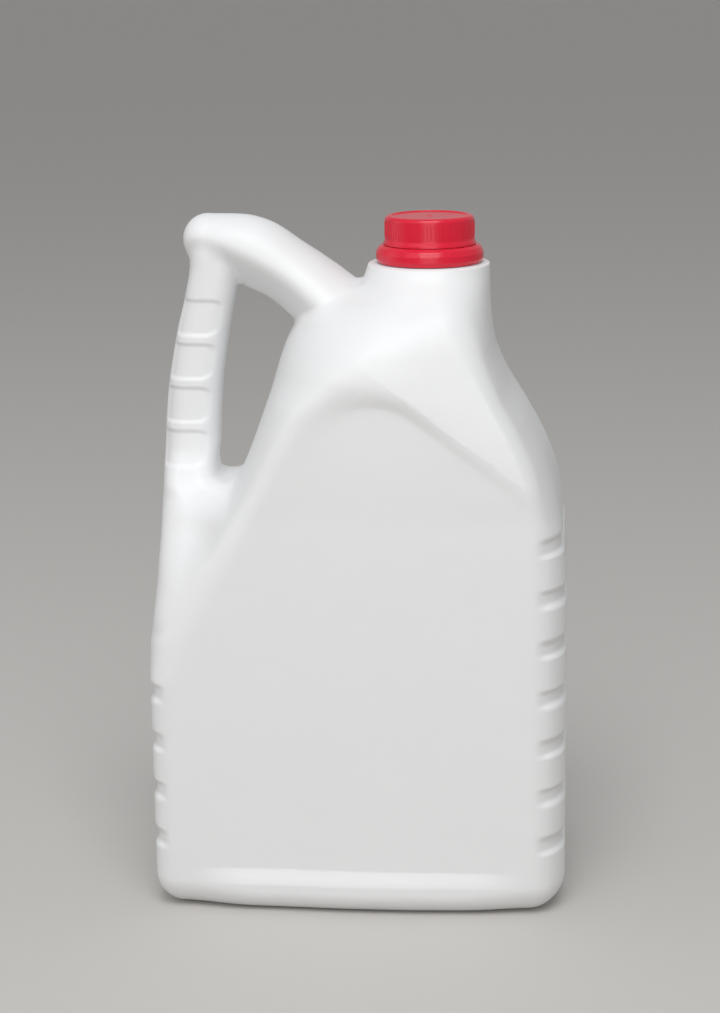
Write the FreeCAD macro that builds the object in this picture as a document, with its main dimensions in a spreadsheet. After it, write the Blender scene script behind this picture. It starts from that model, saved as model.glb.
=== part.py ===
"""Blow-moulded jerrycan of about five litres: hollow bottle with a grip, screw cap, tamper ring and liner.

Frame: millimetres, +Z up, the can stands on z = 0, the origin is the middle of the base, +X points
from the grip towards the neck and the two broad label faces look along -Y and +Y.
"""
import FreeCAD, Part
import math
import os
import Sketcher
from FreeCAD import Placement, Rotation, Vector

os.makedirs("parts", exist_ok=True)
doc = FreeCAD.newDocument("jerrycan")
sheet = doc.addObject("Spreadsheet::Sheet", "sizes")

# ---------------------------------------------------------------- driving dimensions, in mm
SIZES = [
    ("body_width", 190.0, "across the two narrow sides"),
    ("body_depth", 125.0, "between the two label faces"),
    ("corner_radius", 12.0, "upright corners of the body"),
    ("base_radius", 10.0, "rounding under the walls"),
    ("wall", 1.2, "wall of the blown shell"),
    ("foot_height", 19.0, "top of the foot band under the labels"),
    ("foot_proud", 1.2, "how far the foot band stands out of the label faces"),
    ("pushup_depth", 3.0, "hollow in the middle of the base"),
    ("pushup_margin", 17.0, "width of the ring the can stands on"),
    ("slope_start", 110.0, "height at which the grip side starts to lean in"),
    ("collar_top", 295.0, "top of the white collar round the neck"),
    ("collar_lip", 2.2, "width of the raised lip of the collar"),
    ("collar_sink", 2.6, "depth of the collar's floor under its lip"),
    ("neck_offset", 31.8, "neck axis from the middle of the can"),
    ("hood_proud", 2.6, "how far the shoulder stands out over the label"),
    ("ledge_width", 10.0, "soft step between shoulder and label, seen from the front"),
    ("arch_radius", 36.0, "round top of the label"),
    ("arch_left_deg", 60.6, "slope of the label's left edge"),
    ("arch_right_deg", 38.9, "slope of the label's right edge"),
    ("arch_peak_back", 34.5, "corner of the label's two edges, back from the neck axis"),
    ("arch_peak_drop", 32.6, "the same corner, below the collar's top"),
    ("notch_pitch", 23.25, "between two grip notches of the narrow sides"),
    ("notch_first", 34.0, "height of the lowest notch"),
    ("notch_height", 8.4, "height of a notch at the surface"),
    ("notch_depth", 1.5, "depth of a notch"),
    ("notch_count_neck_side", 7, "notches on the side under the neck"),
    ("notch_count_grip_side", 4, "notches on the side under the grip"),
    ("hole_foot", 196.9, "bottom of the finger hole"),
    ("grip_depth", 29.0, "grip, front to back"),
    ("grip_pad_count", 4, "pads pressed into the grip"),
    ("grip_pad_pitch", 20.4, "between two pads"),
    ("grip_pad_rib", 3.2, "rib left between two pads"),
    ("grip_pad_first", 210.0, "height of the lowest pad's middle"),
    ("grip_pad_depth", 0.9, "depth of a pad"),
    ("head_height", 316.2, "top of the grip's head, the highest point"),
    ("bore_radius", 15.4, "mouth of the neck"),
    ("neck_wall", 2.2, "wall of the neck under its thread"),
    ("neck_height", 16.2, "neck above the collar"),
    ("bead_proud", 4.0, "how far the ring's bead stands out of the neck"),
    ("bead_catch", 1.3, "how far it stands out of the neck below it"),
    ("bead_lift", 3.1, "underside of the bead above the tamper ring's foot"),
    ("thread_play", 1.5, "room for the thread between neck and cap"),
    ("cap_plate", 1.7, "thickness of the cap's top"),
    ("cap_wall", 1.4, "thickness of the cap's skirt"),
    ("knurl_count", 72, "fine grooves round the cap"),
    ("knurl_depth", 0.3, "depth of such a groove"),
    ("knurl_half", 0.35, "half the width of such a groove"),
    ("cap_flare", 0.7, "how far the cap's foot flares"),
    ("ring_height", 7.4, "height of the tamper ring"),
    ("ring_width", 2.2, "thickness of its wall at the bead"),
    ("ring_gap", 0.4, "play between ring and neck"),
    ("ring_lift", 0.5, "play between the ring's foot and the collar's floor"),
    ("ring_room", 0.9, "play between ring and collar lip"),
    ("nib_count", 20, "breakable nibs between ring and cap"),
    ("nib_half", 0.6, "half the width of a nib"),
    ("nib_height", 0.8, "height of a nib"),
    ("seat_gap", 0.3, "play between a nib and the cap"),
    ("liner_thick", 0.9, "thickness of the sealing disc"),
    ("liner_room", 0.7, "play between the disc's edge and the cap"),
    ("liner_play", 0.3, "play above and below the sealing disc"),
]
# What fits together follows from the sizes above and a named clearance.
FITS = [
    ("finish_radius", "bore_radius + neck_wall", "neck under its thread"),
    ("bead_radius", "finish_radius + bead_proud", "bead that holds the tamper ring"),
    ("throat_radius", "bead_radius - bead_catch", "neck under that bead"),
    ("ring_radius", "bead_radius + ring_gap + ring_width", "widest part of the tamper ring"),
    ("collar_radius", "ring_radius + ring_room + collar_lip", "outside of the collar"),
    ("ring_foot", "collar_top - collar_sink + ring_lift", "lower edge of the tamper ring"),
    ("bead_height", "ring_foot + bead_lift", "underside of the bead"),
    ("mouth_height", "collar_top + neck_height", "sealing edge of the neck"),
    ("cap_radius", "finish_radius + thread_play + cap_wall", "outside of the screw cap"),
    ("cap_foot", "ring_foot + ring_height + nib_height + seat_gap", "lower edge of the screw cap"),
    ("cap_top", "mouth_height + liner_play + liner_thick + liner_play + cap_plate", "top of the screw cap"),
    ("liner_radius", "finish_radius + thread_play - liner_room", "sealing disc in the cap"),
]


def fill_row(row, name, value, note):
    """One line of the sheet: a name in words, the plain number with its alias, and what it is."""
    sheet.set("A" + str(row), name.replace("_", " "))
    sheet.set("B" + str(row), str(round(value, 6)))
    sheet.set("C" + str(row), note)
    sheet.setAlias("B" + str(row), name)
    doc.recompute()


def size(name):
    """One dimension, read from the sheet."""
    return float(sheet.get(name))


def reading(text):
    """A sum such as "cap_top - cap_plate" as its present value and as an expression for a constraint."""
    value = 0.0
    sign = 1
    words = []
    for word in text.split():
        if word in "+-":
            sign = 1 if word == "+" else -1
            words.append(word)
        elif word[0].isdigit():
            value += sign * float(word)
            words.append(word)
        else:
            value += sign * size(word)
            words.append("sizes." + word)
    return value, " ".join(words)


for row, (name, value, note) in enumerate(SIZES, start=1):
    fill_row(row, name, value, note)
for row, (name, total, note) in enumerate(FITS, start=len(SIZES) + 1):
    fill_row(row, name, reading(total)[0], note)

HALF_WIDTH = size("body_width") / 2
HALF_DEPTH = size("body_depth") / 2
CORNER = size("corner_radius")
COLLAR_TOP = size("collar_top")
COLLAR_RADIUS = size("collar_radius")
NECK_X = size("neck_offset")
SLOPE_START = size("slope_start")
FOOT_SLOPE = 4         # the foot band runs out over this many times its own thickness
BASE_BEVEL = 0.6       # the hollow is bevelled inside the rounding, by this share of its radius
OVERLAP = 1.0          # a cutting tool runs this far past the skin
THIN_FLAT = 0.8        # half length of the shortest straight stretch left in a rounded section


# ---------------------------------------------------------------- guide curves of the shoulder
class Guide:
    """A smooth curve through a few (height share, value) points, without overshoot."""

    def __init__(self, points):
        self.at = [p[0] for p in points]
        self.value = [p[1] for p in points]
        steps = range(len(points) - 1)
        slope = [(self.value[i + 1] - self.value[i]) / (self.at[i + 1] - self.at[i]) for i in steps]
        self.slope = [slope[0]]
        for before, after in zip(slope, slope[1:]):
            flat = before * after <= 0
            self.slope.append(0.0 if flat else 2 * before * after / (before + after))
        self.slope.append(slope[-1])

    def __call__(self, share):
        i = 0
        while i < len(self.at) - 2 and share > self.at[i + 1]:
            i += 1
        span = self.at[i + 1] - self.at[i]
        u = min(1.0, max(0.0, (share - self.at[i]) / span))
        start = (1 + 2 * u) * (1 - u) ** 2 * self.value[i] + u * (1 - u) ** 2 * span * self.slope[i]
        end = u * u * (3 - 2 * u) * self.value[i + 1] - u * u * (1 - u) * span * self.slope[i + 1]
        return start + end


# Heights are shares of the way from slope_start to collar_top.  An edge runs from a narrow side to the
# collar, the flat end of a corner from its place on the body to the neck axis.
RIGHT_EDGE = Guide([(0, 0), (0.2, 0), (0.33, 0.035), (0.43, 0.115), (0.52, 0.26), (0.61, 0.5),
                    (0.7, 0.77), (0.8, 0.94), (0.9, 0.99), (1, 1)])
LEFT_EDGE = Guide([(0, 0), (0.08, 0), (0.16, 0.05), (0.27, 0.161), (0.378, 0.281), (0.476, 0.397),
                   (0.66, 0.528), (0.8, 0.613), (0.86, 0.66), (0.92, 0.78), (0.96, 0.95), (1, 1)])
RIGHT_FLAT = Guide([(0, 0), (0.38, 0), (0.476, 0.05), (0.568, 0.273), (0.66, 0.645), (0.77, 0.95), (1, 1)])
LEFT_FLAT = Guide([(0, 0), (0.135, 0.105), (0.27, 0.222), (0.476, 0.392), (0.66, 0.575), (0.74, 0.723),
                   (1, 1)])
# The hood bulges past the label face up to its crest, from where the section closes in to the collar.
HOOD_CREST = 0.74
HOOD = Guide([(0, 0), (0.38, 0), (0.57, 0.5), (HOOD_CREST, 1)])
FUNNEL = Guide([(HOOD_CREST, 0), (0.8, 0.14), (0.865, 0.4), (0.93, 0.7), (1, 1)])
# Straight stretch of each narrow side, as a share of the lower body's.
RIGHT_STRAIGHT = Guide([(0, 1), (0.33, 1), (0.43, 0.75), (0.52, 0.45), (0.61, 0.2), (0.74, 0), (1, 0)])
LEFT_STRAIGHT = Guide([(0, 1), (0.135, 0.8), (0.378, 0.36), (0.57, 0.12), (0.74, 0), (1, 0)])
SHOULDER_SHARES = [-0.1, -0.05, 0, 0.08, 0.16, 0.25, 0.33, 0.4, 0.47, 0.54, 0.61, 0.68, 0.74, 0.8, 0.86,
                   0.93, 1]


def mix(start, end, share):
    return start + (end - start) * share


def rounded_ring(left, right, flat_left, flat_right, half_depth, left_straight, right_straight, bow=0.0):
    """A closed section in the XY plane: four straights, the label ones bowed out, and four round corners."""
    edges = []

    def bend(poles, weights):
        curve = Part.BSplineCurve()
        curve.buildFromPolesMultsKnots(poles, [3, 3], [0, 1], False, 2, weights)
        edges.append(curve.toShape())

    def corner(start, finish, tip):
        bend([start, tip, finish], [1, math.sqrt(0.5), 1])

    def straight(start, finish, push):
        bend([start, (start + finish) / 2 + Vector(0, 2 * push, 0), finish], [1, 1, 1])

    right_front = Vector(right, -right_straight, 0)
    right_back = Vector(right, right_straight, 0)
    back_right = Vector(flat_right, half_depth, 0)
    back_left = Vector(flat_left, half_depth, 0)
    left_back = Vector(left, left_straight, 0)
    left_front = Vector(left, -left_straight, 0)
    front_left = Vector(flat_left, -half_depth, 0)
    front_right = Vector(flat_right, -half_depth, 0)
    straight(right_front, right_back, 0)
    corner(right_back, back_right, Vector(right, half_depth, 0))
    straight(back_right, back_left, bow)
    corner(back_left, left_back, Vector(left, half_depth, 0))
    straight(left_back, left_front, 0)
    corner(left_front, front_left, Vector(left, -half_depth, 0))
    straight(front_left, front_right, -bow)
    corner(front_right, right_front, Vector(right, -half_depth, 0))
    return Part.Wire(edges)


def at_height(wire, height):
    wire.translate(Vector(0, 0, height))
    return wire


# ---------------------------------------------------------------- the blown skin, outside and inside
# The outside is drawn with smooth lofts.  The hollow, which nobody sees, takes straight bands between the
# same sections, one wall smaller.
def lower_section(height, inset, bow):
    side = HALF_WIDTH - inset
    flat = HALF_WIDTH - CORNER
    straight = HALF_DEPTH - CORNER
    ring = rounded_ring(-side, side, -flat, flat, HALF_DEPTH - inset, straight, straight, bow)
    return at_height(ring, height)


def shoulder_top(inset):
    """Where the funnel ends: at the collar's lip outside, and under the collar's floor inside."""
    return COLLAR_TOP - (size("collar_sink") + inset if inset else 0)


def lower_body(inset):
    """The upright part of the can, with its foot band and the rounding under its walls."""
    foot = size("foot_height")
    proud = size("foot_proud")
    ledge = FOOT_SLOPE * proud
    join = mix(SLOPE_START, shoulder_top(inset), SHOULDER_SHARES[0])
    bevel = BASE_BEVEL * size("base_radius") if inset > 0 else 0
    rings = [lower_section(inset + bevel, inset, proud), lower_section(foot, inset, proud),
             lower_section(foot + ledge, inset, 0), lower_section(join, inset, 0)]
    if inset > 0:
        return Part.makeLoft([lower_section(inset, inset + bevel, proud)] + rings, True, True)
    block = Part.makeLoft(rings, True, True)
    rim = [edge for edge in block.Edges if edge.BoundBox.ZMax < 0.01]
    return block.makeFillet(size("base_radius"), rim)


def shoulder_section(share, inset, top):
    height = mix(SLOPE_START, top, share)
    flat = HALF_WIDTH - CORNER
    straight = HALF_DEPTH - CORNER
    right = mix(HALF_WIDTH, NECK_X + COLLAR_RADIUS, RIGHT_EDGE(share)) - inset
    left = mix(-HALF_WIDTH, NECK_X - COLLAR_RADIUS, LEFT_EDGE(share)) + inset
    flat_right = mix(flat, NECK_X + THIN_FLAT, RIGHT_FLAT(share))
    flat_left = mix(-flat, NECK_X - THIN_FLAT, LEFT_FLAT(share))
    crest = HALF_DEPTH + size("hood_proud")
    if share <= HOOD_CREST:
        half_depth = mix(HALF_DEPTH, crest, HOOD(share)) - inset
    else:
        half_depth = mix(crest, COLLAR_RADIUS, FUNNEL(share)) - inset
    left_straight = mix(THIN_FLAT, straight, LEFT_STRAIGHT(share))
    right_straight = mix(THIN_FLAT, straight, RIGHT_STRAIGHT(share))
    ring = rounded_ring(left, right, flat_left, flat_right, half_depth, left_straight, right_straight)
    return at_height(ring, height)


def shoulder(inset):
    """From the upright body up to the collar: a funnel whose front and back bulge into the hood."""
    top = shoulder_top(inset)
    rings = [shoulder_section(share, inset, top) for share in SHOULDER_SHARES]
    return Part.makeLoft(rings, True, inset > 0)


# Grip: heights are shares of the way from hole_foot (0) to the head's top (1), the root lies below 0.
GRIP_SET_IN = Guide([(-0.66, 2.5), (-0.5, 0.8), (-0.35, 0.3), (-0.1, 0.5), (0.04, 1.5), (0.3, 4.9),
                     (0.53, 10), (0.7, 15), (0.8, 17.1), (0.88, 17.1)])
GRIP_WIDTH = Guide([(-0.66, 88), (-0.4, 76), (-0.2, 64), (-0.1, 56), (-0.05, 49), (-0.02, 41), (0, 33.5),
                    (0.015, 29.3), (0.05, 26.8), (0.14, 23.6), (0.45, 22.4), (0.7, 21), (0.88, 21)])
GRIP_SPREAD = Guide([(-0.66, 4.12), (-0.52, 4.0), (-0.38, 3.45), (-0.25, 2.75), (-0.12, 2.05), (0, 1.4),
                     (0.1, 1.08), (0.25, 1), (0.88, 0.98)])
GRIP_SQUARE = Guide([(-0.66, 0.8), (-0.2, 0.55), (-0.03, 0.4), (0.15, 0.22), (0.88, 0.2)])
GRIP_SHARES = [-0.66, -0.52, -0.38, -0.25, -0.14, -0.06, -0.02, 0, 0.02, 0.06, 0.14, 0.28, 0.45, 0.6,
               0.73, 0.87]
HOLE_FOOT = size("hole_foot")
HEAD_HEIGHT = size("head_height")


def grip_height(share):
    return mix(HOLE_FOOT, HEAD_HEIGHT, share)


def grip_section(share, inset):
    left = -HALF_WIDTH + GRIP_SET_IN(share)
    right = left + GRIP_WIDTH(share)
    half_depth = size("grip_depth") / 2 * GRIP_SPREAD(share)
    middle = (left + right) / 2
    square = GRIP_SQUARE(share)
    flat = (right - left) / 2 * square + THIN_FLAT
    straight = half_depth * square + THIN_FLAT
    ring = rounded_ring(left + inset, right - inset, middle - flat, middle + flat, half_depth - inset,
                        straight, straight)
    return at_height(ring, grip_height(share))


def grip(inset):
    """The upright grip with the root that spreads into the body under the finger hole."""
    return Part.makeLoft([grip_section(share, inset) for share in GRIP_SHARES], True, inset > 0)


# Bridge: an arm on one smooth centre line from the head down into the shoulder.
HEAD_RADIUS = 15.0
HEAD_SET_IN = 29.0
HEAD_HALF_DEPTH = 18.5
HEAD_TURNS = [84, 74, 62, 48, 32, 16]    # degrees round the head's end at which it gets a section
BRIDGE_HALF_HEIGHT = Guide([(0, HEAD_RADIUS), (0.12, 16), (0.25, 16.2), (0.5, 15.0), (0.75, 15.8), (1, 18)])
BRIDGE_HALF_DEPTH = Guide([(0, HEAD_HALF_DEPTH), (0.25, 19), (0.5, 21), (0.75, 26), (1, 33)])
BRIDGE_SHARES = [0, 0.12, 0.25, 0.4, 0.55, 0.7, 0.85, 1]
HEAD_CENTRE = Vector(-HALF_WIDTH + HEAD_SET_IN, 0, HEAD_HEIGHT - HEAD_RADIUS)
BRIDGE_FOOT = Vector(NECK_X - 36.8, 0, COLLAR_TOP - 31)


def bridge_line():
    reach = BRIDGE_FOOT - HEAD_CENTRE
    level = HEAD_CENTRE + Vector(0.33 * reach.x, 0, 0)
    slope = BRIDGE_FOOT + Vector(-0.26 * reach.x, 0, -0.5 * reach.z)
    line = Part.BezierCurve()
    line.setPoles([HEAD_CENTRE, level, slope, BRIDGE_FOOT])
    return line


def arm_section(half_height, half_depth, place, lean):
    thin = min(THIN_FLAT, half_height / 4)
    ring = rounded_ring(-half_height, half_height, -thin, thin, half_depth, thin, thin)
    ring.Placement = Placement(place, Rotation(Vector(0, 1, 0), 90 - lean))
    return ring


def bridge(inset):
    """The arm from its rounded end over the grip, which closes like a ball, down into the shoulder."""
    line = bridge_line()
    rings = []
    for turn in HEAD_TURNS:
        shrink = math.cos(math.radians(turn))
        back = Vector((HEAD_RADIUS - inset) * math.sin(math.radians(turn)), 0, 0)
        rings.append(arm_section((HEAD_RADIUS - inset) * shrink, (HEAD_HALF_DEPTH - inset) * shrink,
                                 HEAD_CENTRE - back, 0))
    for share in BRIDGE_SHARES:
        along = line.tangent(share)[0]
        lean = math.degrees(math.atan2(along.z, along.x))
        rings.append(arm_section(BRIDGE_HALF_HEIGHT(share) - inset, BRIDGE_HALF_DEPTH(share) - inset,
                                 line.value(share), lean))
    return Part.makeLoft(rings, True, inset > 0)


# ---------------------------------------------------------------- what the mould presses into the skin
NOTCH_FADE = 0.55      # share of a notch's depth that is left where it ends beside the label
NOTCH_START = 0.8      # a notch starts this far past the start of the rounded corner


def mirrored(shape):
    """The same tool on the back label face."""
    return shape.mirror(Vector(0, 0, 0), Vector(0, 1, 0))


def label_outline(grow, depth):
    """The label's edge: two straight slopes with a round top, closed far below the slopes' lower ends."""
    left = math.radians(size("arch_left_deg"))
    right = math.radians(size("arch_right_deg"))
    half = (math.pi - left - right) / 2
    lean = (left - right) / 2
    up = Vector(-math.sin(lean), 0, math.cos(lean))
    corner = Vector(NECK_X - size("arch_peak_back"), depth, COLLAR_TOP - size("arch_peak_drop"))
    peak = corner + up * (grow / math.sin(half))
    radius = size("arch_radius") + grow
    down_left = Vector(-math.cos(left), 0, -math.sin(left))
    down_right = Vector(math.cos(right), 0, -math.sin(right))
    run = radius / math.tan(half)
    reach = size("body_width")
    start = peak + down_left * reach
    bend_left = peak + down_left * run
    crown = peak - up * (radius / math.sin(half) - radius)
    bend_right = peak + down_right * run
    finish = peak + down_right * reach
    edges = [Part.makeLine(start, bend_left), Part.Arc(bend_left, crown, bend_right).toShape(),
             Part.makeLine(bend_right, finish), Part.makeLine(finish, start)]
    return Part.Wire(edges)


def label_tool(inset):
    """Everything in front of the label face under its arch, with the soft ledge as a slope."""
    face = -(HALF_DEPTH - inset)
    proud = size("hood_proud")
    slope = size("ledge_width") / proud
    deep = label_outline(inset - size("ledge_width") / 2, face)
    far = label_outline(inset - size("ledge_width") / 2 + slope * 2 * proud, face - 2 * proud)
    return Part.makeLoft([deep, far], True, True)


def notch_section(height, inset, deep):
    """The body's section with its narrow sides set in further than its label faces."""
    side = HALF_WIDTH - inset - deep
    flat = HALF_WIDTH - CORNER
    straight = HALF_DEPTH - CORNER
    ring = rounded_ring(-side, side, -flat, flat, HALF_DEPTH - inset - NOTCH_FADE * deep, straight, straight)
    return at_height(ring, height)


def notch_tool(height, side, inset):
    """A groove round one narrow side: a slab with a plug of the body left standing inside it."""
    tall = size("notch_height") / 2 + inset + OVERLAP
    short = tall - size("notch_depth") - OVERLAP
    deep = size("notch_depth")
    levels = ((-tall, -OVERLAP), (-short, deep), (short, deep), (tall, -OVERLAP))
    rings = [notch_section(height + above, inset, sunk) for above, sunk in levels]
    plug = Part.makeLoft(rings, True, True)
    slab = Part.makeBox(CORNER + OVERLAP, size("body_width"), 2 * tall)
    slab.translate(Vector(HALF_WIDTH - CORNER + NOTCH_START, -HALF_WIDTH, height - tall))
    if side < 0:
        slab = slab.mirror(Vector(0, 0, 0), Vector(1, 0, 0))
    return slab.cut(plug)


def notch_tools(inset):
    """Both rows of grip notches, the longer one on the side under the neck."""
    tools = []
    for side, count in ((1, size("notch_count_neck_side")), (-1, size("notch_count_grip_side"))):
        for index in range(int(count)):
            tools.append(notch_tool(size("notch_first") + index * size("notch_pitch"), side, inset))
    return tools


PAD_EDGE = 2.4         # strip left plain beside a pad


def pad_tools():
    """Shallow pads that follow the grip's own roundness, each inside a leaning four-sided window."""
    core = grip(size("grip_pad_depth"))
    tools = []
    for index in range(int(size("grip_pad_count"))):
        middle = size("grip_pad_first") + index * size("grip_pad_pitch")
        tall = (size("grip_pad_pitch") - size("grip_pad_rib")) / 2
        corners = []
        for height in (middle - tall, middle + tall):
            share = (height - HOLE_FOOT) / (HEAD_HEIGHT - HOLE_FOOT)
            left = -HALF_WIDTH + GRIP_SET_IN(share)
            corners.append((left + PAD_EDGE, left + GRIP_WIDTH(share) - PAD_EDGE, height))
        (low_left, low_right, low), (high_left, high_right, high) = corners
        front = -size("grip_depth")
        outline = [Vector(low_left, front, low), Vector(low_right, front, low),
                   Vector(high_right, front, high), Vector(high_left, front, high),
                   Vector(low_left, front, low)]
        window = Part.Face(Part.makePolygon(outline)).extrude(Vector(0, -front, 0))
        tool = window.cut(core)
        tools += [tool, mirrored(tool)]
    return tools


def pushup_tool(inset):
    """The hollow in the base that leaves a flat ring to stand on."""
    rings = []
    for height, extra in ((0, 0), (size("pushup_depth"), 2 * size("pushup_depth"))):
        side = HALF_WIDTH - size("pushup_margin") - extra + inset
        depth = HALF_DEPTH - size("pushup_margin") - extra + inset
        ring = rounded_ring(-side, side, CORNER - side, side - CORNER, depth, depth - CORNER, depth - CORNER)
        rings.append(at_height(ring, height + inset))
    under = rings[0].copy()
    under.translate(Vector(0, 0, -OVERLAP))
    return Part.makeLoft([under] + rings, True, True)


def blown_form(inset):
    """The outside of the can (inset 0), or the hollow inside it (inset one wall)."""
    inside = inset > 0
    grip_inset = inset + size("grip_pad_depth") if inside else 0
    form = lower_body(inset).Solids[0].fuse([shoulder(inset), bridge(inset), grip(grip_inset)])
    front = label_tool(inset)
    form = form.cut([front, mirrored(front)]).cut(notch_tools(inset)).cut(pushup_tool(inset))
    if not inside:
        form = form.cut(pad_tools())
    return form.Solids[0]


# ---------------------------------------------------------------- turned pieces: sketches bound to the sheet
def turned_body(name, corners):
    """A body turned round the neck axis from a closed outline of (radius, height) sums."""
    body = doc.addObject("PartDesign::Body", name)
    body.Label = name
    body.setExpression("Placement.Base.x", "sizes.neck_offset")
    sketch = body.newObject("Sketcher::SketchObject", name + "_outline")
    plane = [item for item in body.Origin.OriginFeatures if item.Role == "XZ_Plane"][0]
    sketch.AttachmentSupport = [(plane, "")]
    sketch.MapMode = "FlatFace"
    read = [(reading(across), reading(height)) for across, height in corners]
    places = [Vector(across[0], height[0], 0) for across, height in read]
    for start, finish in zip(places, places[1:] + places[:1]):
        sketch.addGeometry(Part.LineSegment(start, finish), False)
    for index, (across, height) in enumerate(read):
        sketch.addConstraint(Sketcher.Constraint("Coincident", index, 2, (index + 1) % len(places), 1))
        if across[0] == 0:
            sketch.addConstraint(Sketcher.Constraint("PointOnObject", index, 1, -2))
        else:
            at = sketch.addConstraint(Sketcher.Constraint("DistanceX", -1, 1, index, 1, across[0]))
            sketch.setExpression("Constraints[%d]" % at, across[1])
        at = sketch.addConstraint(Sketcher.Constraint("DistanceY", -1, 1, index, 1, height[0]))
        sketch.setExpression("Constraints[%d]" % at, height[1])
    turned = body.newObject("PartDesign::Revolution", name + "_turned")
    turned.Profile = sketch
    turned.ReferenceAxis = (sketch, ["V_Axis"])
    turned.Angle = 360
    doc.recompute()
    return body


def rim_names(feature, across, height):
    """The round edges of a turned feature at one radius and height, both given as sums."""
    radius = reading(across)[0]
    level = reading(height)[0]
    found = []
    for number, edge in enumerate(feature.Shape.Edges, start=1):
        box = edge.BoundBox
        round_about = abs(box.ZMin - level) < 0.01 and abs(box.ZMax - level) < 0.01
        if round_about and abs(edge.Vertexes[0].Point.sub(Vector(0, 0, level)).Length - radius) < 0.01:
            found.append("Edge" + str(number))
    return found


def soften(body, radius, rims):
    """Round the rims of a turned body."""
    base = body.Tip
    fillet = body.newObject("PartDesign::Fillet", body.Name + "_rounding")
    fillet.Base = (base, [name for across, height in rims for name in rim_names(base, across, height)])
    fillet.Radius = radius
    doc.recompute()
    return fillet


def block_feature(body, kind, name, plane_name, rectangle, offset, depth):
    """A pad or pocket of a rectangle lying on +X: its near and far end and half its breadth, as sums."""
    sketch = body.newObject("Sketcher::SketchObject", name + "_outline")
    plane = [item for item in body.Origin.OriginFeatures if item.Role == plane_name][0]
    sketch.AttachmentSupport = [(plane, "")]
    sketch.MapMode = "FlatFace"
    sketch.setExpression("AttachmentOffset.Base.z", reading(offset)[1])
    near, far, half = [reading(text) for text in rectangle]
    corners = [Vector(near[0], -half[0], 0), Vector(far[0], -half[0], 0), Vector(far[0], half[0], 0),
               Vector(near[0], half[0], 0)]
    for start, finish in zip(corners, corners[1:] + corners[:1]):
        sketch.addGeometry(Part.LineSegment(start, finish), False)
    for index in range(4):
        sketch.addConstraint(Sketcher.Constraint("Coincident", index, 2, (index + 1) % 4, 1))
    for index in (0, 2):
        sketch.addConstraint(Sketcher.Constraint("Horizontal", index))
        sketch.addConstraint(Sketcher.Constraint("Vertical", index + 1))
    bounds = (("DistanceX", -1, 1, 0, 1, near), ("DistanceX", -1, 1, 1, 1, far),
              ("DistanceY", 0, 1, -1, 1, half), ("DistanceY", -1, 1, 2, 1, half))
    for kind_of, first, first_end, second, second_end, (value, formula) in bounds:
        at = sketch.addConstraint(Sketcher.Constraint(kind_of, first, first_end, second, second_end, value))
        sketch.setExpression("Constraints[%d]" % at, formula)
    feature = body.newObject(kind, name)
    feature.Profile = sketch
    feature.setExpression("Length", reading(depth)[1])
    doc.recompute()
    return feature


def around(body, feature, count_name):
    """Repeat a feature round the neck axis."""
    pattern = body.newObject("PartDesign::PolarPattern", feature.Name + "_round")
    pattern.Originals = [feature]
    pattern.Axis = ([item for item in body.Origin.OriginFeatures if item.Role == "Z_Axis"][0], [""])
    pattern.Angle = 360
    pattern.setExpression("Occurrences", "sizes." + count_name)
    body.Tip = pattern
    doc.recompute()
    return pattern


def still(name, shape):
    thing = doc.addObject("Part::Feature", name)
    thing.Shape = shape
    thing.Placement = Placement()
    return thing


def combined(kind, name, base, tool):
    thing = doc.addObject(kind, name)
    thing.Base = base
    thing.Tool = tool
    thing.Refine = False
    return thing


def round_bar(name, radius, foot, tall):
    bar = doc.addObject("Part::Cylinder", name)
    bar.setExpression("Radius", reading(radius)[1])
    bar.setExpression("Height", reading(tall)[1])
    bar.setExpression("Placement.Base.x", "sizes.neck_offset")
    bar.setExpression("Placement.Base.z", reading(foot)[1])
    return bar


# ---------------------------------------------------------------- bottle
skin = still("skin", blown_form(0))
hollow = still("hollow", blown_form(size("wall")))
collar_floor = round_bar("collar_floor", "collar_radius - collar_lip", "collar_top - collar_sink",
                         "collar_sink + 1")
neck = turned_body("neck", [
    ("0", "collar_top - 4"), ("throat_radius", "collar_top - 4"), ("throat_radius", "bead_height"),
    ("bead_radius", "bead_height + 0.6"), ("bead_radius", "bead_height + 1.4"),
    ("finish_radius", "bead_height + 3.6"), ("finish_radius", "mouth_height - 0.8"),
    ("finish_radius - 0.8", "mouth_height"), ("0", "mouth_height")])
bore = round_bar("bore", "bore_radius", "collar_top - 12", "mouth_height - collar_top + 13")
sunk = combined("Part::Cut", "skin_with_collar", skin, collar_floor)
necked = combined("Part::Fuse", "skin_with_neck", sunk, neck)
open_neck = combined("Part::Cut", "open_neck", necked, bore)
bottle = combined("Part::Cut", "bottle", open_neck, hollow)
bottle.Label = "bottle"

# ---------------------------------------------------------------- screw cap, tamper ring and sealing disc
screw_cap = turned_body("screw_cap", [
    ("0", "cap_top - cap_plate"), ("cap_radius - cap_wall", "cap_top - cap_plate"),
    ("cap_radius - cap_wall", "cap_foot"), ("cap_radius + cap_flare", "cap_foot"),
    ("cap_radius + cap_flare", "cap_foot + 0.9"), ("cap_radius", "cap_foot + 2.4"),
    ("cap_radius", "cap_top - 0.7"), ("cap_radius - 0.9", "cap_top"), ("cap_radius - 3.2", "cap_top"),
    ("cap_radius - 3.6", "cap_top - 0.4"), ("0", "cap_top - 0.4")])
soften(screw_cap, 0.4, [("cap_radius", "cap_top - 0.7"), ("cap_radius - 0.9", "cap_top")])
groove = block_feature(screw_cap, "PartDesign::Pocket", "knurl_groove", "XY_Plane",
                       ("cap_radius - knurl_depth", "cap_radius + 1", "knurl_half"), "cap_foot + 2.9",
                       "cap_top - cap_foot - 4.4")
groove.Reversed = True
around(screw_cap, groove, "knurl_count")

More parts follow.
